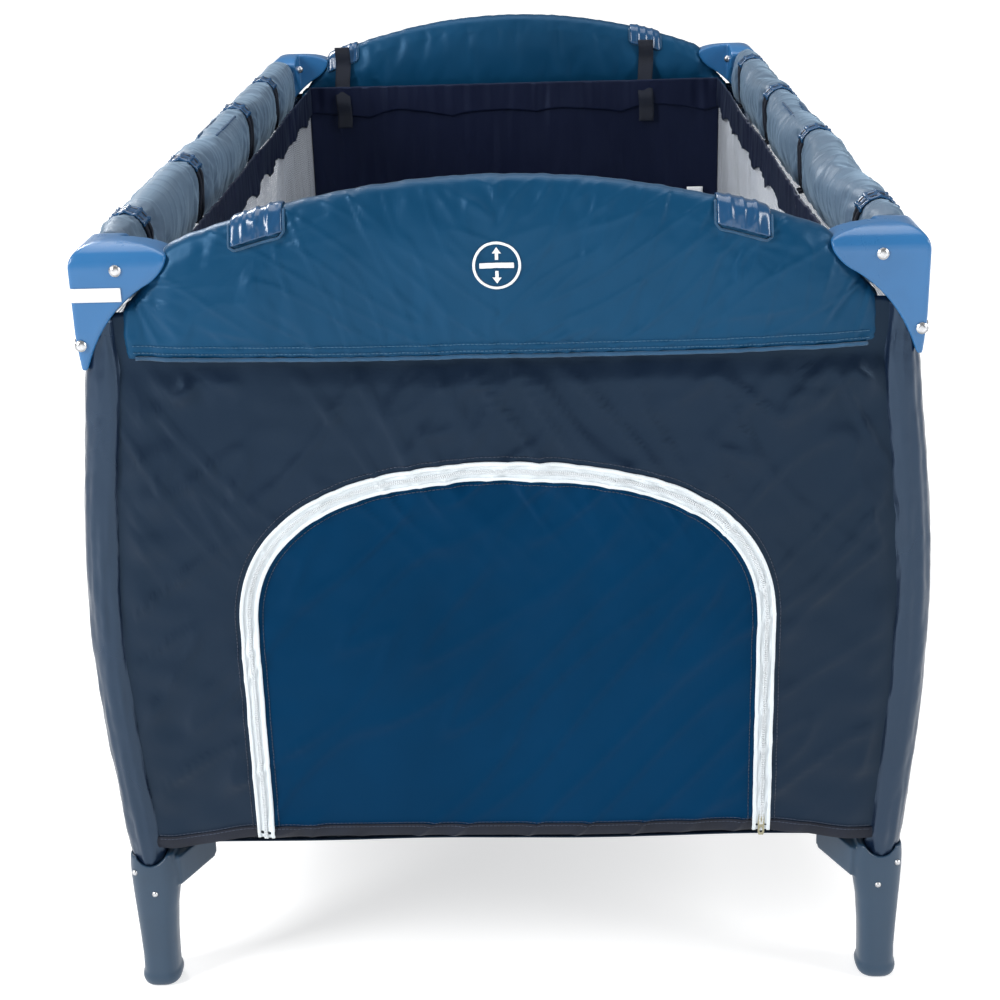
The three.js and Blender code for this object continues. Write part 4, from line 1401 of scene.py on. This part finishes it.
def makeCoverTrim(end):
    sy, hem = signOf[end], cot["endCoverHem"]

    def on(x, z, lift):
        hits = [surfaces[end].ray_cast(Vector((x, sy * 0.75, z + up)), Vector((0, -sy, 0)), 0.3)[0]
                for up in (0, 0.002, 0.004)]
        y = max([sy * hit.y for hit in hits if hit is not None] + [0.618])
        return Vector((x, sy * (y + lift), z))

    def hemAt(x):
        return hem + 0.003 * smoothStep(0.15, 0.30, abs(x))

    xs = np.linspace(-0.300, 0.300, 240)
    rows = [[on(x, hemAt(x) + rise, 0.0007) for x in xs] for rise in (0.0065, 0.0125)]
    piece = stitchRow("cover_stitches_" + end, rows, "threadBlue", (0, sy, 0))
    gatherEnd(piece, end)
    edge = cordOn("cover_binding_" + end, [on(x, hemAt(x) + 0.0015, 0.0) for x in xs], 0.0017, "blueBinding")
    gatherEnd(edge, end)


for rail, places in clips.items():
    for number, at in enumerate(places):
        makeClip(rail, number + 1, at)
for end in ("front", "rear"):
    makeBadge(end)
    makeCoverTrim(end)


sticker = {"low": 0.6665, "high": 0.6780, "left": -0.3478, "right": -0.3050}


def makeSticker():
    # a blank label wrapped on the near left casting
    y = -cot["postY"] - casting["depth"] / 2
    low, high, left, right = (sticker[key] for key in ("low", "high", "left", "right"))
    rows, columns, points = 6, 30, []
    for r in range(rows):
        z = low + (high - low) * r / (rows - 1)
        for c in range(columns):
            x = left + (right - left) * c / (columns - 1)
            wrap = 0.0042 * smoothStep(-0.3435, left, x) if x > -0.3435 else 0.0
            points.append((x, y - 0.0006 + (0.006 * ((-0.3440 - x) / 0.0038) ** 2 if x < -0.3440 else 0)
                           + wrap, z))
    piece = thicken(newPiece("blank_label", points, gridFaces(rows, columns), "whitePrint"), 0.0005, 0)
    outward(piece)
    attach(piece, "front_left_leg")


makeSticker()
print("clips and trim made")


# see-through long sides

sidePanel = {"face": 0.3414, "half": 0.585, "top": 0.650}


def makeSidePanel(side):
    sx = signOf[side]
    rows, columns, points = 60, 200, []

    def place(y, z, lift=0.0):
        wave = noise.noise(Vector((y * 5, z * 7, 40 + sx))) * 0.0030
        wave += noise.noise(Vector((y * 60, z * 12, 44 + sx))) * 0.0010 * math.exp(-max(0, 0.64 - z) / 0.03)
        tuck = smoothStep(0, 0.02, sidePanel["half"] - abs(y))
        return (sx * (sidePanel["face"] + wave * tuck + lift), y, z)

    for r in range(rows):
        z = cot["hem"] + (sidePanel["top"] - cot["hem"]) * r / (rows - 1)
        points += [place(sidePanel["half"] * (2 * c / (columns - 1) - 1), z) for c in range(columns)]
    piece = thinSheet("side_net_" + side, points, rows, columns, "sideNet", 0.0008)
    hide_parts("side_panel_" + side)
    gatherSide(piece, side)
    parts = []
    half = sidePanel["half"]
    for box in ((-half, half, cot["hem"] - 0.001, cot["hem"] + 0.028),
                (-half, -half + 0.024, cot["hem"], 0.640),
                (half - 0.024, half, cot["hem"], 0.640)):
        rows, columns = (5, 200) if box[1] - box[0] > 1 else (70, 5)
        grid = [place(box[0] + (box[1] - box[0]) * c / (columns - 1),
                      box[2] + (box[3] - box[2]) * r / (rows - 1),
                      0.0010) for r in range(rows) for c in range(columns)]
        parts.append(thinSheet("band", grid, rows, columns, "navySatin", 0.0012))
    piece = joined("side_binding_" + side, parts)
    gatherSide(piece, side)


for side in ("left", "right"):
    makeSidePanel(side)
print("long sides made")


# bassinet insert

insert = {"halfX": 0.2955, "halfY": 0.5745, "top": 0.664, "low": 0.3955, "hemLow": 0.622, "hemTop": 0.668,
          "wall": 0.0012, "flatAcross": 0.592, "flatAlong": 1.15, "strapTop": 0.722, "strapLong": 0.112,
          "strapWide": 0.021}


def insertWall(rail, name, look, low, high, inward, rows, columns, ripple, scallop=0.0, wall=None):
    isEnd = rail in ("front", "rear")
    sign = signOf[rail]
    half = insert["halfX"] if isEnd else insert["halfY"]
    face = (insert["halfY"] if isEnd else insert["halfX"]) - inward
    seed, points = 5 + 13 * ("front", "rear", "left", "right").index(rail), []
    for r in range(rows):
        t = r / (rows - 1)
        for c in range(columns):
            a = half * (2 * c / (columns - 1) - 1)
            edge = low + scallop * (abs(math.sin(a * 26 + seed)) + 0.6 * noise.noise(Vector((a * 14, seed,
                                                                                             0))))
            z = edge + (high - edge) * t
            wave = noise.noise(Vector((a * 75, z * 12, seed))) * ripple
            wave += noise.noise(Vector((a * 9, z * 11, seed + 2))) * ripple * 1.2
            wave *= smoothStep(0, 0.02, half - abs(a))
            if isEnd:
                points.append((a, sign * (face - wave), z))
            else:
                points.append((sign * (face - wave), a, z))
    return thinSheet(name, points, rows, columns, look, wall or insert["wall"])


def makeInsert():
    floorPoints = []
    for r in range(60):
        y = insert["halfY"] * (2 * r / 59 - 1)
        for c in range(34):
            x = insert["halfX"] * (2 * c / 33 - 1)
            z = insert["low"] + 0.0010 + 0.0012 * noise.noise(Vector((x * 12, y * 12, 3)))
            floorPoints.append((x, y, z))
    ground = thinSheet("insert_floor", floorPoints, 60, 34, "darkTaffeta", 0.0016)
    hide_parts("insert")
    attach(ground, "insert")
    for rail in ("front", "rear", "left", "right"):
        isEnd = rail in ("front", "rear")
        rows, columns = (70, 150) if isEnd else (46, 240)
        look = "darkTaffeta" if isEnd else "sideNet"
        wallPiece = insertWall(rail, "insert_wall_" + rail, look, insert["low"], insert["top"], 0, rows,
                               columns,
                               0.0020 if isEnd else 0.0012)
        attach(wallPiece, "insert")
        hem = insertWall(rail, "insert_hem_" + rail, "darkTaffeta", insert["hemLow"], insert["hemTop"],
                         0.0030, 16,
                         columns + 120, 0.0026, 0.010, 0.0014)
        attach(hem, "insert")
    for end in ("front", "rear"):
        sy = signOf[end]
        for number, at in enumerate(clips[end]):
            rows, columns, points = 60, 8, []
            for r in range(rows):
                t = r / (rows - 1)
                z = insert["strapTop"] - insert["strapLong"] * t
                y = sy * (cot["postY"] - 0.0225 - 0.016 * smoothStep(0.2, 0.75, t) - 0.001 * math.sin(t * 21))
                points += [(at + insert["strapWide"] * (c / (columns - 1) - 0.5) + 0.001 * math.sin(t * 9),
                            y, z)
                           for c in range(columns)]
            strap = thinSheet("insert_strap_" + end + "_" + str(number + 1), points, rows, columns,
                              "binding", 0.0013)
            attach(strap, "insert")
    points = [(0.250 + 0.023 * c / 6, insert["halfY"] - 0.008 - 0.002 * math.sin(r * 0.4),
               0.485 + 0.028 * r / 9)
              for r in range(10) for c in range(7)]
    label = thinSheet("care_label", points, 10, 7, "whitePrint", 0.0006)
    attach(label, "insert")


makeInsert()
print("insert made")


# folding mattress

mattress = {"columns": 44, "rows": 84, "channel": 0.0714, "crown": 0.0032}


def makeSection(number):
    low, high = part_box("mattress_section_" + str(number))
    middle, half = (low + high) / 2, (high - low) / 2
    rows, columns, points = mattress["rows"], mattress["columns"], []

    def side(face):
        for r in range(rows):
            for c in range(columns):
                u, v = 2 * c / (columns - 1) - 1, 2 * r / (rows - 1) - 1
                rim = min(1.0, (1 - max(abs(u), abs(v))) * 7)
                thick = half.z * (0.30 + 0.70 * math.sin(rim * math.pi / 2)) - 0.0004
                x, y = middle.x + half.x * u, middle.y + half.y * v
                groove = abs(math.sin(math.pi * x / mattress["channel"])) ** 0.4 * abs(
                    math.sin(math.pi * (y - low.y) / mattress["channel"])) ** 0.4
                soft = noise.noise(Vector((x * 30, y * 30, number))) * 0.0006
                thick -= mattress["crown"] * (1 - groove) * min(1, rim * 2) - soft
                points.append((x, y, middle.z + face * max(0.001, thick)))

    side(-1)
    side(1)
    count = rows * columns
    faces = gridFaces(rows, columns) + [tuple(count + i for i in f) for f in gridFaces(rows, columns)]
    border = [c for c in range(columns)] + [r * columns + columns - 1 for r in range(1, rows)]
    border += [(rows - 1) * columns + c for c in range(columns - 2, -1, -1)]
    border += [r * columns for r in range(rows - 2, 0, -1)]
    faces += [(a, b, b + count, a + count) for a, b in zip(border, border[1:] + border[:1])]
    piece = outward(newPiece("mattress_pad_" + str(number), points, faces, "quilt"))
    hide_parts("mattress_section_" + str(number))
    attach(piece, "mattress_" + str(number))


for number in (1, 2, 3, 4):
    makeSection(number)
print("mattress made")


# base fabric over the four arms

base = {"halfX": 0.318, "halfY": 0.612, "z": 0.1515, "cornerX": 0.3050, "cornerY": 0.5830, "holeX": 0.0365,
        "holeY": 0.0180, "keep": 0.08}


def makeBaseFlap(end, side):
    sx, sy = signOf[side], signOf[end]
    ys = [0.0] + list(np.linspace(0.004, base["holeY"], 4)) + [base["holeY"] + 0.0004]
    ys += list(np.linspace(base["holeY"] + 0.008, base["cornerY"], 84)) + [base["cornerY"] + 0.0004]
    ys += list(np.linspace(base["cornerY"] + 0.005, base["halfY"], 6))
    columns, points = 60, []
    for y in ys:
        start = base["holeX"] if y <= base["holeY"] else 0.0
        stop = base["halfX"] if y <= base["cornerY"] else base["cornerX"]
        for c in range(columns):
            x = start + (stop - start) * c / (columns - 1)
            wave = noise.noise(Vector((sx * x * 7, sy * y * 5, 8))) * 0.0022
            points.append((sx * x, sy * y, base["z"] + max(-0.001, wave)))
    piece = thinSheet("base_cloth_" + end + "_" + side, points, len(ys), columns, "navySatin", 0.0016)
    outward(piece)
    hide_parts("floor_panel")
    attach(piece, end + "_" + side + "_arm")
    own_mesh(piece)


for end, side in corners:
    makeBaseFlap(end, side)
print("base made")


# floor


studioFloor = {"half": 30, "near": 1.0, "far": 4.0}


def makeFloor():
    n = Nodes("paleFloor")
    tone = n.ramp(n.noiseOf(n.place, 2.0, 3), [(0.3, (0.60, 0.60, 0.60)), (0.7, (0.64, 0.64, 0.64))])
    # paler away from the lights, so it meets the white
    reach = n.add("ShaderNodeVectorMath", operation="LENGTH")
    n.link(n.place, reach.inputs[0])
    away = n.add("ShaderNodeMapRange")
    away.inputs["From Min"].default_value = studioFloor["near"]
    away.inputs["From Max"].default_value = studioFloor["far"]
    n.link(reach.outputs["Value"], away.inputs["Value"])
    glow = n.ramp(away.outputs["Result"], [(0.0, (0.62, 0.62, 0.62)), (1.0, (1.0, 1.0, 1.0))])
    n.link(glow, n.shader.inputs["Emission Color"])
    material = n.finish(tone, None, None, Roughness=0.7, Specular_IOR_Level=0.1, Emission_Strength=1.0)
    looks["paleFloor"] = material
    h = studioFloor["half"]
    floor = newPiece("floor", [(-h, -h, -0.0005), (h, -h, -0.0005), (h, h, -0.0005), (-h, h, -0.0005)],
                     [(0, 1, 2, 3)], "paleFloor")


makeFloor()
